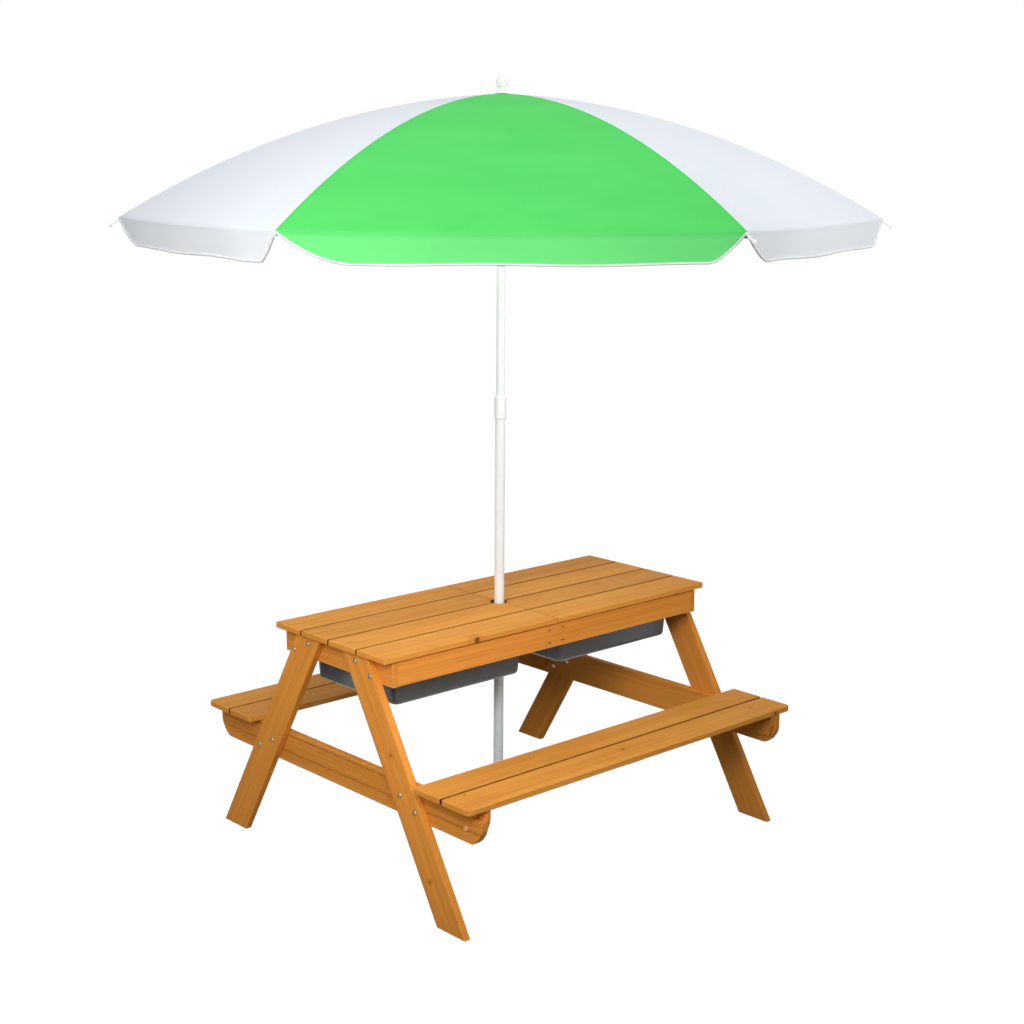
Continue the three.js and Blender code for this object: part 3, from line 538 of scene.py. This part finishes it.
@dataclass(frozen=True)
class CanopyCloth:
    """Woven polyester of the canopy: a close plain weave, stitched seams and faint handling creases, with
    painted shade along the ribs and the valance painted lighter.
    """

    name: str
    colour: Colour
    deep: Colour
    # painted light: the lighter colour of the valance and the fold above it
    painted_valance_light: Colour
    thread_gap: float = 1.1 * MM
    seam_inset: float = 5.0 * MM
    seam_width: Span = (0.32 * MM, 0.8 * MM)
    stitch_length: float = 3.6 * MM
    stitch_dash: Span = (0.3, 0.4)
    stitch_share: float = 0.5
    # painted shade: a darker band along the rib's seam
    rib_shade_reach: Span = (1.2 * MM, 3.2 * MM)
    rib_shade_share: float = 0.75
    # where the painted light of the valance starts, and its share
    valance_light_reach: Span = (-6.0 * MM, 14.0 * MM)
    valance_light_share: float = 0.85
    weave_share: float = 0.07
    wave_scale: Place = (7.0, 7.0, 20.0)
    wave_range: Span = (0.25, 0.8)
    wave_share: float = 0.3
    crease_core: float = 4.0 * MM
    crease_pull: Span = (4.2, 3.0)
    crease_noise: Noise = (1.6, 2.0, 0.55)
    crease_reach: Span = (20.0 * MM, 130.0 * MM)
    weave_height: float = 0.06
    wave_height: float = 0.9
    crease_height: float = 0.8
    stitch_height: float = 0.3
    relief_depth: float = 1.6 * MM
    rough: float = 0.78
    rough_swing: float = 0.14
    sheen: float = 0.04
    sheen_rough: float = 0.5
    shine: float = 0.1

    def material(self) -> bpy.types.Material:
        """Builds the material. The flat map's X is the way across from the rib, and its Y the way down."""
        tree = ShaderTree(bpy.data.materials.new(self.name))
        across, down, _ = tree.split(tree.cloth_place())
        turn = 2 * math.pi / self.thread_gap
        weave = (tree.maths("SINE", across * turn) * tree.maths("SINE", down * turn) + 1.0) * 0.5
        waves = tree.noise(tree.moved(tree.point(), scale=self.wave_scale), 1.0, 3.0)
        colour = tree.mix(tree.step(waves, *self.wave_range) * self.wave_share, self.colour, self.deep)
        # painted light: the valance is painted lighter than the top
        colour = tree.mix(tree.step(down, *self.valance_light_reach) * self.valance_light_share, colour, self.painted_valance_light)
        colour = tree.mix(weave * self.weave_share, colour, self.deep)
        stitches = self.stitches(tree, across, down)
        # painted shade: a darker band along the rib's seam, beside the real stitches
        edge = 1.0 - tree.step(across, *self.rib_shade_reach)
        stitches_and_rib_shade = tree.maths("MAXIMUM", stitches * self.stitch_share, edge * self.rib_shade_share)
        height = weave * self.weave_height + waves * self.wave_height
        height = height + self.tip_creases(tree, across, down) * self.crease_height
        height = height - stitches * self.stitch_height
        return tree.finish(
            Base_Color=tree.mix(stitches_and_rib_shade, colour, self.deep),
            Roughness=self.rough + (waves - MID_NOISE) * self.rough_swing,
            Normal=tree.bump(height, self.relief_depth),
            Sheen_Weight=self.sheen,
            Sheen_Roughness=self.sheen_rough,
            Specular_IOR_Level=self.shine,
        )

    def stitches(self, tree: ShaderTree, across: Wire, down: Wire) -> Wire:
        """Gives the stitch line beside the rib's seam."""
        dash = tree.step(tree.maths("FRACT", down / self.stitch_length), *self.stitch_dash)
        return (1.0 - tree.step(abs(across - self.seam_inset), *self.seam_width)) * dash

    def tip_creases(self, tree: ShaderTree, across: Wire, down: Wire) -> Wire:
        """Gives the fine creases that fan out from the rib's tip, where the cloth is pulled tight."""
        fan = tree.maths("ARCTAN2", down, across + self.crease_core)
        away = tree.maths("SQRT", across * across + down * down)
        coordinates = {"X": fan * self.crease_pull[0], "Y": away * self.crease_pull[1], "Z": 0.0}
        place = tree.output(tree.node("ShaderNodeCombineXYZ", None, coordinates), "Vector")
        folds = tree.noise(place, *self.crease_noise)
        return folds * (1.0 - tree.step(away, *self.crease_reach))


@dataclass(frozen=True)
class Finishes:
    """The finishes of the whole object."""

    top_light: Colour = from_display(240, 166, 74)
    top_dark: Colour = from_display(210, 134, 54)
    frame_light: Colour = from_display(240, 158, 68)
    frame_dark: Colour = from_display(206, 127, 48)
    bin_plastic: MouldedPlastic = MouldedPlastic("grey_bin_plastic", from_display(82, 92, 95), 0.3)
    fitting_plastic: MouldedPlastic = MouldedPlastic(
        "white_fitting_plastic", from_display(244, 247, 246), 0.4
    )
    pole_paint: PowderCoat = PowderCoat("white_pole_powder_coat", from_display(234, 239, 237))
    rib_steel: PlatedSteel = PlatedSteel("rib_spring_steel", from_display(236, 238, 239), 0.36)
    bolt_steel: PlatedSteel = PlatedSteel("zinc_bolt_steel", from_display(150, 136, 114), 0.3)
    stained_bolt: MouldedPlastic = MouldedPlastic("stained_over_bolt", from_display(232, 170, 112), 0.5)
    screw_paint: MouldedPlastic = MouldedPlastic("dark_screw_stain", from_display(40, 16, 6), 0.8)
    # each cloth's third colour is painted light for its valance, lighter than its top
    green_cloth: CanopyCloth = CanopyCloth(
        "green_canopy_cloth",
        colour=from_display(90, 220, 106),
        deep=from_display(74, 203, 90),
        painted_valance_light=from_display(124, 244, 140),
    )
    white_cloth: CanopyCloth = CanopyCloth(
        "white_canopy_cloth",
        colour=from_display(243, 248, 253),
        deep=from_display(234, 242, 250),
        painted_valance_light=from_display(249, 252, 255),
    )
    tape: BindingTape = BindingTape("white_binding_tape", from_display(248, 251, 250))


def link_piece(name: str, mesh: bpy.types.Mesh) -> bpy.types.Object:
    """Puts a mesh in the scene as a piece at the origin."""
    piece = bpy.data.objects.new(name, mesh)
    bpy.context.scene.collection.objects.link(piece)
    return piece


def write_mesh(name: str, work: bmesh.types.BMesh) -> bpy.types.Mesh:
    """Writes a working mesh, which is freed."""
    mesh = bpy.data.meshes.new(name)
    work.to_mesh(mesh)
    work.free()
    return mesh


def close_mesh(name: str, work: bmesh.types.BMesh, smooth: bool = True) -> bpy.types.Mesh:
    """Merges doubles, makes the faces point outwards and writes the mesh.

    Args:
        name: The mesh's name.
        work: The working mesh, which is freed.
        smooth: Whether the faces are shaded smooth.

    Returns:
        The finished mesh.
    """
    bmesh.ops.remove_doubles(work, verts=work.verts, dist=MERGE_DISTANCE)
    bmesh.ops.recalc_face_normals(work, faces=work.faces)
    for face in work.faces:
        face.smooth = smooth
    return write_mesh(name, work)


def wear(node: str, material: bpy.types.Material) -> None:
    """Gives a carried-over node its finish."""
    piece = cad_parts[node]
    if piece.material_slots:
        for slot in piece.material_slots:
            slot.material = material
    else:
        piece.data.materials.append(material)


@dataclass(frozen=True)
class SoftLamp:
    """One square lamp of the studio: where it hangs, what it faces, its width and its power."""

    name: str
    place: Place
    target: Place
    width: float
    watts: float
    spread: float = math.pi

    def hang(self) -> None:
        """Hangs the lamp, unseen by the camera."""
        data = bpy.data.lights.new(self.name, "AREA")
        data.size = self.width
        data.energy = self.watts
        data.spread = self.spread
        lamp = bpy.data.objects.new(self.name, data)
        bpy.context.scene.collection.objects.link(lamp)
        lamp.location = self.place
        aim = Vector(self.target) - Vector(self.place)
        lamp.rotation_euler = aim.to_track_quat("-Z", "Y").to_euler()
        lamp.visible_camera = False


@dataclass
class Studio:
    """The plain pale studio: floor, sky, lamps and the camera of the photograph."""

    eye: Place = (-2.4291, -2.6582, 1.4599)
    yaw: float = math.radians(41.53)
    pitch: float = math.radians(12.06)
    roll: float = math.radians(0.14)
    focal_pixels: float = 1684.6
    centre_pixels: tuple[float, float] = (474.0, 522.0)
    picture: float = 1024.0
    sensor: float = 36.0
    floor_size: float = 60.0
    far_clip: float = 100.0
    white: Colour = (1.0, 1.0, 1.0)
    sky_colour: Colour = (0.96, 0.98, 1.0)
    sky_strength: float = 0.36
    floor_colour: Colour = (0.5, 0.5, 0.5)
    bounce_colour: Colour = (0.1, 0.1, 0.1)
    floor_glow: float = 1.135
    glow_share: float = 0.87
    lamps: tuple[SoftLamp, ...] = (
        SoftLamp("key_lamp", (-2.3, -1.5, 1.75), (-0.5, -0.1, 0.4), 1.2, 2.2, math.radians(50)),
        SoftLamp("left_lamp", (-1.3, -1.2, 1.3), (-0.5, -0.15, 0.35), 0.6, 1.45, math.radians(60)),
        SoftLamp("roof_lamp", (-0.5, -0.6, 3.6), (0.0, 0.0, 1.4), 2.4, 24.0),
        SoftLamp("table_lamp", (-0.05, -0.35, 1.24), (-0.05, -0.34, 0.5), 0.8, 3.1),
        SoftLamp("right_lamp", (1.3, -3.8, 1.7), (0.3, -0.3, 1.75), 1.2, 6.6, math.radians(50)),
        SoftLamp("left_canopy_lamp", (-3.4, -1.2, 1.6), (-0.6, -0.2, 1.55), 1.0, 5.3, math.radians(50)),
    )

    def build(self) -> None:
        """Builds the whole studio."""
        self.set_camera()
        self.set_world()
        self.lay_floor()
        for lamp in self.lamps:
            lamp.hang()
        bpy.context.scene.view_settings.view_transform = "Standard"

    def set_camera(self) -> None:
        """Places the camera where the photograph was taken from."""
        data = bpy.data.cameras.new("photo_camera")
        data.sensor_width = self.sensor
        data.lens = self.focal_pixels * self.sensor / self.picture
        data.shift_x = (self.picture / 2 - self.centre_pixels[0]) / self.picture
        data.shift_y = (self.centre_pixels[1] - self.picture / 2) / self.picture
        data.clip_end = self.far_clip
        camera = bpy.data.objects.new("photo_camera", data)
        bpy.context.scene.collection.objects.link(camera)
        aim = Matrix.Rotation(-self.yaw, 4, "Z") @ Matrix.Rotation(math.pi / 2 - self.pitch, 4, "X")
        camera.matrix_world = Matrix.Translation(self.eye) @ aim @ Matrix.Rotation(self.roll, 4, "Z")
        bpy.context.scene.camera = camera

    def set_world(self) -> None:
        """Makes the sky white to the camera and a plain soft light to the object."""
        world = bpy.data.worlds.new("studio_sky")
        bpy.context.scene.world = world
        tree = ShaderTree(world)
        skies = []
        for colour, strength in ((self.sky_colour, self.sky_strength), (self.white, 1.0)):
            made = tree.node("ShaderNodeBackground", None, {"Color": (*colour, 1.0), "Strength": strength})
            skies.append(tree.output(made, "Background"))
        surface = tree.mix_surfaces(tree.seen_directly(), skies[0], skies[1])
        tree.node("ShaderNodeOutputWorld", None, {"Surface": surface})

    def lay_floor(self) -> None:
        """Lays the pale floor, which keeps the object's shadow."""
        work = bmesh.new()
        bmesh.ops.create_grid(work, x_segments=1, y_segments=1, size=self.floor_size / 2)
        floor = link_piece("studio_floor", close_mesh("studio_floor", work, smooth=False))
        tree = ShaderTree(bpy.data.materials.new("pale_floor"))
        seen = tree.seen_directly()
        tone = tree.mix(seen, self.bounce_colour, self.floor_colour)
        paper = tree.output(tree.node("ShaderNodeBsdfDiffuse", None, {"Color": tone}), "BSDF")
        light = {"Color": (*self.white, 1.0), "Strength": self.floor_glow}
        glow = tree.output(tree.node("ShaderNodeEmission", None, light), "Emission")
        surface = tree.mix_surfaces(seen * self.glow_share, paper, glow)
        tree.node("ShaderNodeOutputMaterial", None, {"Surface": surface})
        floor.data.materials.append(tree.owner)


@dataclass(frozen=True)
class SpunHead:
    """A round head, with its profile and its recess given as shares of its radius and height."""

    radius: float
    height: float
    profile: tuple[Span, ...]
    recess: Span
    facets: int = 24

    def add(self, work: bmesh.types.BMesh, at: Place, outward: float) -> None:
        """Spins the profile round its axis, sinks the recess and adds the head to a mesh.

        Args:
            work: The mesh it goes into.
            at: The place on the board's face.
            outward: 1 turns the head towards +X, -1 towards -X, and 0 leaves it facing up.
        """
        part = bmesh.new()
        points = [part.verts.new((r * self.radius, 0.0, h * self.height)) for r, h in self.profile]
        edges = [part.edges.new(pair) for pair in zip(points, points[1:])]
        bmesh.ops.spin(
            part,
            geom=points + edges,
            cent=(0, 0, 0),
            axis=(0, 0, 1),
            angle=2 * math.pi,
            steps=self.facets,
            use_merge=True,
        )
        top = max(v.co.z for v in part.verts) - HAIR
        ring = [e for e in part.edges if e.is_boundary and all(v.co.z > top for v in e.verts)]
        cap = bmesh.ops.holes_fill(part, edges=ring, sides=0)["faces"]
        flat = (self.profile[-1][0] - self.recess[0]) * self.radius
        inner = bmesh.ops.inset_region(part, faces=cap, thickness=flat)["faces"]
        face = [f for f in part.faces if f not in inner and all(v.co.z > top for v in f.verts)]
        middle = min(face, key=lambda f: f.calc_center_median().xy.length)
        sunk = bmesh.ops.extrude_face_region(part, geom=[middle])["geom"]
        bottom = [v for v in sunk if isinstance(v, bmesh.types.BMVert)]
        bmesh.ops.translate(part, vec=(0, 0, -self.recess[1] * self.height), verts=bottom)
        bmesh.ops.delete(part, geom=[middle], context="FACES_ONLY")
        turn = Matrix.Rotation(outward * math.pi / 2, 3, "Y")
        bmesh.ops.rotate(part, cent=(0, 0, 0), matrix=turn, verts=part.verts)
        bmesh.ops.translate(part, vec=at, verts=part.verts)
        scratch = write_mesh("head", part)
        work.from_mesh(scratch)
        bpy.data.meshes.remove(scratch)


@dataclass
class WoodenTable:
    """The wooden table: each board gets its own grain. The fasteners' places are in millimetres."""

    finishes: Finishes
    leg_face: float = 462.3 * MM
    beam_face: float = 446.0 * MM
    beam_back: float = 430.0 * MM
    beam_groove_face: float = 441.5 * MM
    apron_face: float = 180.0 * MM
    apron_top: float = 499.6 * MM
    bolt: SpunHead = SpunHead(
        5.8 * MM, 3.2 * MM, ((1.0, 0.0), (1.0, 0.22), (0.9, 0.52), (0.7, 0.84), (0.5, 0.98)), (0.42, 0.5)
    )
    screw: SpunHead = SpunHead(3.9 * MM, 0.5 * MM, ((1.0, 0.0), (0.9, 0.8), (0.6, 1.0)), (0.4, 0.6))
    upper_bolts: tuple[Span, ...] = ((80.0, 485.0), (128.0, 463.0))
    lower_bolts: tuple[Span, ...] = ((218.0, 240.0), (265.0, 218.0))
    beam_bolt: Span = (398.0, 221.5)
    apron_screws: tuple[Span, ...] = ((19.6, 488.0), (19.6, 460.0))
    # the spans where shade is painted on the sides of slats that face gaps
    top_gaps: Span = (-2 * MM, 183.0 * MM)
    bench_gaps: Span = (281.0 * MM, 439.0 * MM)
    # the heights of the beams' grooves, and the share of the painted shade laid in them
    beam_grooves: tuple[float, ...] = (219.2 * MM, 256.0 * MM)
    groove_shade_share: float = 0.35
    # the share of the painted shadow line under the top's overhang
    overhang_shade_share: float = 0.85
    tone_swing: float = 0.06
    tone_turn: float = 2.4
    seed_step: float = 0.731
    knots: dict[str, tuple[tuple[Place, float], ...]] = field(
        default_factory=lambda: {
            "front_left_leg": (((-0.4623, -0.191, 0.315), 0.0032), ((-0.4623, -0.310, 0.088), 0.0030)),
            "left_top_slat_1": (((-0.2284, -0.184, 0.506), 0.0078),),
            "left_top_slat_2": (((-0.4477, -0.0454, 0.512), 0.0028),),
            "right_top_slat_2": (((0.2787, -0.0323, 0.512), 0.0026),),
            "front_bench_outer_slat": (
                ((-0.0135, -0.3953, 0.2775), 0.0045),
                ((-0.4276, -0.3737, 0.2775), 0.0026),
                ((0.3968, -0.3943, 0.2775), 0.0032),
                ((0.4254, -0.442, 0.2709), 0.0042),
            ),
        }
    )

    def build(self) -> None:
        """Dresses every board and drives in the fasteners."""
        boards = [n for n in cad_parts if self.grain_of(n) is not None]
        for number, node in enumerate(sorted(boards)):
            wear(node, self.board_finish(node, number).material())
        log.info("wooden boards dressed: %d", len(boards))
        self.add_bolts()
        self.add_screws()

    def grain_of(self, node: str) -> Grain | None:
        """Tells which way the grain of a board runs, or None where the node isn't wood."""
        if "leg" in node:
            return Grain.LEG_FRONT if "front" in node else Grain.LEG_BACK
        if any(word in node for word in ("batten", "end_board", "divider", "cleat", "beam")):
            return Grain.ALONG_Y
        if "slat" in node or "apron" in node:
            return Grain.ALONG_X
        return None

    def board_finish(self, node: str, number: int) -> StainedPine:
        """Chooses the stain of one board.

        Args:
            node: The board's name.
            number: Its place in the sorted list, which seeds its grain.

        Returns:
            The finish.
        """
        is_top = "slat" in node
        light = self.finishes.top_light if is_top else self.finishes.frame_light
        dark = self.finishes.top_dark if is_top else self.finishes.frame_dark
        tone = 1.0 + self.tone_swing * math.sin(number * self.tone_turn)
        # painted shade: in the gaps between slats, in the beams' grooves, and a shadow line under the top's
        # overhang on the aprons and end boards
        gaps, shade_bands = None, None
        if is_top:
            gaps = self.bench_gaps if "bench" in node else self.top_gaps
        elif "beam" in node:
            shade_bands = PaintedShadeBands(self.beam_grooves, 0, self.beam_groove_face, self.groove_shade_share)
        elif "apron" in node:
            shade_bands = PaintedShadeBands((self.apron_top,), 1, self.apron_face - MM, self.overhang_shade_share)
        elif "end_board" in node:
            shade_bands = PaintedShadeBands((self.apron_top,), 0, self.beam_face - MM, self.overhang_shade_share)
        return StainedPine(
            f"pine_{node}",
            self.grain_of(node),
            1.0 + number * self.seed_step,
            tinted(light, (tone, tone, tone)),
            tinted(dark, (tone, tone, tone)),
            self.knots.get(node, ()),
            gaps,
            shade_bands,
        )

    def add_bolts(self) -> None:
        """Adds the bolts of each leg, and the one at each beam's stepped end: front left and back right."""
        steel = self.finishes.bolt_steel.material()
        stained = self.finishes.stained_bolt.material()
        for side, outward in (("left", -1.0), ("right", 1.0)):
            for row, near in (("front", -1.0), ("back", 1.0)):
                work = bmesh.new()
                for y, z in (*self.upper_bolts, *self.lower_bolts):
                    self.bolt.add(work, (outward * self.leg_face, near * y * MM, z * MM), outward)
                for y, z in self.lower_bolts:
                    self.bolt.add(work, (outward * self.beam_back, near * y * MM, z * MM), -outward)
                self.hang_piece(f"{row}_{side}_bolts", work, steel)
                if near == outward:
                    y, z = self.beam_bolt
                    work = bmesh.new()
                    self.bolt.add(work, (outward * self.beam_face, near * y * MM, z * MM), outward)
                    self.hang_piece(f"{row}_{side}_beam_bolt", work, stained)

    @staticmethod
    def hang_piece(name: str, work: bmesh.types.BMesh, material: bpy.types.Material) -> None:
        """Makes a piece of the frame out of a finished mesh."""
        piece = link_piece(name, close_mesh(name, work, smooth=False))
        piece.data.materials.append(material)
        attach(piece, "table_frame")
        log.info("piece %s", name)

    def add_screws(self) -> None:
        """Adds the four screw heads at each apron, which lie level and half sunk in its face."""
        stain = self.finishes.screw_paint.material()
        for row, near in (("front", -1.0), ("back", 1.0)):
            work = bmesh.new()
            for side in (-1.0, 1.0):
                for x, z in self.apron_screws:
                    self.screw.add(work, (side * x * MM, near * self.apron_face, z * MM), 0.0)
            self.hang_piece(f"{row}_apron_screws", work, stain)


@dataclass
class SandBins:
    """The two grey bins that hang in the frame."""

    finishes: Finishes

    def build(self) -> None:
        """Dresses both bins."""
        plastic = self.finishes.bin_plastic.material()
        for node in ("left_sand_bin", "right_sand_bin"):
            wear(node, plastic)
        log.info("bins dressed")


@dataclass
class FoldingFrame:
    """The pole, its fittings and the folding ribs."""

    finishes: Finishes

    def build(self) -> None:
        """Dresses the umbrella's hard parts."""
        paint = self.finishes.pole_paint.material()
        plastic = self.finishes.fitting_plastic.material()
        steel = self.finishes.rib_steel.material()
        for node in ("lower_pole", "upper_pole"):
            wear(node, paint)
        for node in ("pole_collar", "crown", "runner", "finial"):
            wear(node, plastic)
        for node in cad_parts:
            if "rib" in node or "stretcher" in node:
                wear(node, steel)
        log.info("umbrella frame dressed")


def level_direction(turn: float) -> Vector:
    """Gives the level direction at that turn about the pole."""
    return Vector((math.cos(turn), math.sin(turn), 0.0))


@dataclass(frozen=True)
class HalfGore:
    """One half of a gore: the gore's number, the rib that carries it, its side of that rib and its letter."""

    gore: int
    rib: int
    side: float
    letter: str
    first_rib: float = math.radians(19.0)

    @property
    def turn(self) -> float:
        """Gives the rib's turn about the pole."""
        return self.first_rib + (self.rib - 1) * 2 * math.pi / GORES

    def over(self, across: float) -> float:
        """Gives how far over the whole gore a place lies: 0 at its first rib, 2 at its second."""
        return across if self.side > 0 else 2.0 - across


@dataclass(frozen=True)
class Wave:
    """A gentle wave along a gore: its size, how many a gore holds, and how far each gore shifts it."""

    size: float
    count: float
    shift: float

    def at(self, over: float, gore: int) -> float:
        """Gives the wave's height at a place over that gore."""
        return math.sin(over * self.count * math.pi + gore * self.shift) * self.size


@dataclass
class Canopy:
    """The six gores with their valance, each cut into two halves along its middle so that it can fold."""

    finishes: Finishes
    apex: float = 1599.0 * MM
    slope: float = 0.0392
    drop: float = 221.8 * MM
    rim: float = 803.0 * MM
    hole: float = 8.0 * MM
    valance: float = 54.0 * MM
    corner_start: float = 2.0 * MM
    long_corner: float = 122.0 * MM
    long_power: float = 1.8
    short_corner: float = 62.0 * MM
    short_power: float = 1.4
    swing: Wave = Wave(2.2 * MM, 1.5, 1.9)
    ripple: Wave = Wave(1.2 * MM, 2.7, 4.1)
    hem_drift: Wave = Wave(1.3 * MM, 2.3, 2.7)
    sag: float = 4.0 * MM
    thickness: float = 0.8 * MM
    tape_radius: float = 2.1 * MM
    tape_sides: int = 8
    mean_valance: float = 0.93
    columns: int = 44
    column_power: float = 1.4
    rows: int = 64
    valance_rows: int = 14
    fold_keep: float = 0.255
    fold_tilt: float = math.radians(-9.8)
    fold_lean: float = math.radians(17.4)
    fold_lift: float = 27.0 * MM

    def height(self, reach: float) -> float:
        """Gives the cloth's height over a rib at that reach from the pole."""
        return self.apex - self.slope * reach - self.drop * (reach / self.rim) ** 2

    def depth(self, half: HalfGore, across: float) -> float:
        """Gives how deep the valance hangs there: one corner is cut back long, the other short.

        Args:
            half: The half gore.
            across: 0 at the rib and 1 at the gore's middle.

        Returns:
            The depth below the rim.
        """
        run, power = self.short_corner, self.short_power
        if half.side > 0:
            run, power = self.long_corner, self.long_power
        share = min(1.0, across * self.rim / 2 / run)
        drift = self.hem_drift.at(half.over(across), half.gore) * share**2
        return self.corner_start + (self.valance - self.corner_start) * (1 - (1 - share) ** power) + drift

    def reach(self, down: float) -> float:
        """Gives how far from the pole the cloth lies over a rib: 0 is the hole, and 1 and more the rim."""
        return self.hole + (self.rim - self.hole) * min(1.0, down)

    def cloth_point(self, half: HalfGore, across: float, down: float) -> Vector:
        """Gives a place on the cloth.

        Args:
            half: The half gore.
            across: 0 at the rib and 1 at the gore's middle.
            down: 0 at the hole, 1 at the rim and 2 at the valance's lower edge.

        Returns:
            The place in the row frame.
        """
        reach = self.reach(down)
        along = level_direction(half.turn + half.side * 2 * math.pi / 3)
        place = level_direction(half.turn) * reach + along * (reach / 2 * across)
        place.z = self.height(reach) - self.sag * (reach / self.rim) ** 2 * (1 - (1 - across) ** 2)
        if down > 1.0:
            fall = (down - 1.0) * self.depth(half, across)
            over = half.over(across)
            wave = self.swing.at(over, half.gore) + self.ripple.at(over, half.gore)
            calm = min(1.0, across * self.rim / 2 / self.long_corner) ** 2
            outward = level_direction(half.turn + half.side * math.pi / GORES)
            place.z -= fall
            place += outward * (wave * calm * fall / self.valance)
        return place

    def half_gore(self, name: str, half: HalfGore) -> bpy.types.Object:
        """Builds one half of a gore as a thin sheet.

        Args:
            name: The piece's name.
            half: The half gore.

        Returns:
            The piece.
        """
        work = bmesh.new()
        total = self.rows + self.valance_rows
        bmesh.ops.create_grid(work, x_segments=self.columns, y_segments=total, size=0.5)
        flat = work.loops.layers.uv.new("flat")
        for vert in work.verts:
            row = round((0.5 - vert.co.y) * total)
            across = max(0.0, vert.co.x + 0.5) ** self.column_power
            down = row / self.rows if row <= self.rows else 1.0 + (row - self.rows) / self.valance_rows
            vert.co = self.cloth_point(half, across, down)
            reach = self.reach(down)
            below = max(0.0, down - 1.0) * self.depth(half, across)
            for loop in vert.link_loops:
                loop[flat].uv = (reach / 2 * across, reach - self.rim + below)
        bmesh.ops.remove_doubles(work, verts=work.verts, dist=HAIR)
        bmesh.ops.recalc_face_normals(work, faces=work.faces)
        if sum(f.normal.z * f.calc_area() for f in work.faces) < 0:
            bmesh.ops.reverse_faces(work, faces=work.faces)
        for face in work.faces:
            face.smooth = True
        for edge in work.edges:
            edge.smooth = not edge.is_boundary
        piece = link_piece(name, write_mesh(name, work))
        self.thicken(piece)
        return piece

    def thicken(self, piece: bpy.types.Object) -> None:
        """Gives the sheet its thickness below its face, and applies it."""
        wall = piece.modifiers.new("thickness", "SOLIDIFY")
        wall.thickness = self.thickness
        wall.offset = -1.0
        bpy.context.view_layer.update()
        graph = bpy.context.evaluated_depsgraph_get()
        made = bpy.data.meshes.new_from_object(piece.evaluated_get(graph))
        piece.modifiers.clear()
        piece.data = made

    def binding(self, name: str, half: HalfGore) -> bpy.types.Object:
        """Builds the tape round the valance's lower edge as a thin roll that follows it."""
        work = bmesh.new()
        bmesh.ops.create_circle(work, cap_ends=False, radius=self.tape_radius, segments=self.tape_sides)
        steps = self.columns * 2
        ring = list(work.verts)
        edges = list(work.edges)
        path = [self.cloth_point(half, (i / steps) ** self.column_power, 2.0) for i in range(steps + 1)]
        rings = [ring]
        for _ in path[1:]:
            made = bmesh.ops.extrude_edge_only(work, edges=edges)["geom"]
            edges = [g for g in made if isinstance(g, bmesh.types.BMEdge) and g.is_boundary]
            found = {v for e in edges for v in e.verts}
            rings.append([v for v in made if isinstance(v, bmesh.types.BMVert) and v in found])
        for number, place in enumerate(path):
            ahead = path[min(number + 1, steps)] - path[max(number - 1, 0)]
            turn = ahead.normalized().to_track_quat("Z", "Y").to_matrix()
            for vert in rings[number]:
                vert.co = place + turn @ vert.co
        bmesh.ops.holes_fill(work, edges=[e for e in work.edges if e.is_boundary], sides=0)
        return link_piece(name, close_mesh(name, work))

    def build(self) -> None:
        """Builds the twelve half gores and their tapes."""
        cloths = {
            "white": self.finishes.white_cloth.material(),
            "green": self.finishes.green_cloth.material(),
        }
        tape = self.finishes.tape.material()
        for gore in range(1, GORES + 1):
            colour = "white" if gore % 2 else "green"
            for half in (HalfGore(gore, gore, 1.0, "a"), HalfGore(gore, gore % GORES + 1, -1.0, "b")):
                piece = self.half_gore(f"{colour}_gore_{gore}{half.letter}", half)
                piece.data.materials.clear()
                piece.data.materials.append(cloths[colour])
                roll = self.binding(f"valance_tape_{gore}{half.letter}", half)
                roll.data.materials.append(tape)
                self.hang(piece, roll, half)

    def hang(self, piece: bpy.types.Object, roll: bpy.types.Object, half: HalfGore) -> None:
        """Hangs a half gore and its tape on their rib, and hides the imported gore that they replace.

        Args:
            piece: The half gore's sheet.
            roll: Its tape.
            half: The half gore.
        """
        out = level_direction(half.turn)
        above = out * math.sin(self.fold_lean) + Vector((0.0, 0.0, math.cos(self.fold_lean)))
        anchor = out * (self.rim / 2) + above * self.fold_lift
        anchor.z += self.apex - math.tan(self.fold_lean) * self.rim / 2
        for part in (piece, roll):
            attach(part, f"umbrella_rib_{half.rib}")
            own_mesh(part)
        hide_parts(f"canopy_gore_{half.gore}")
        log.info("piece %s on rib %d", piece.name, half.rib)


def main() -> None:
    """Builds the studio and dresses every part of the object in turn."""
    logging.basicConfig(level=logging.INFO, format="%(message)s")
    finishes = Finishes()
    Studio().build()
    for part in (WoodenTable(finishes), SandBins(finishes), FoldingFrame(finishes), Canopy(finishes)):
        part.build()
        log.info("done: %s", type(part).__name__)


if __name__ == "__main__":
    main()
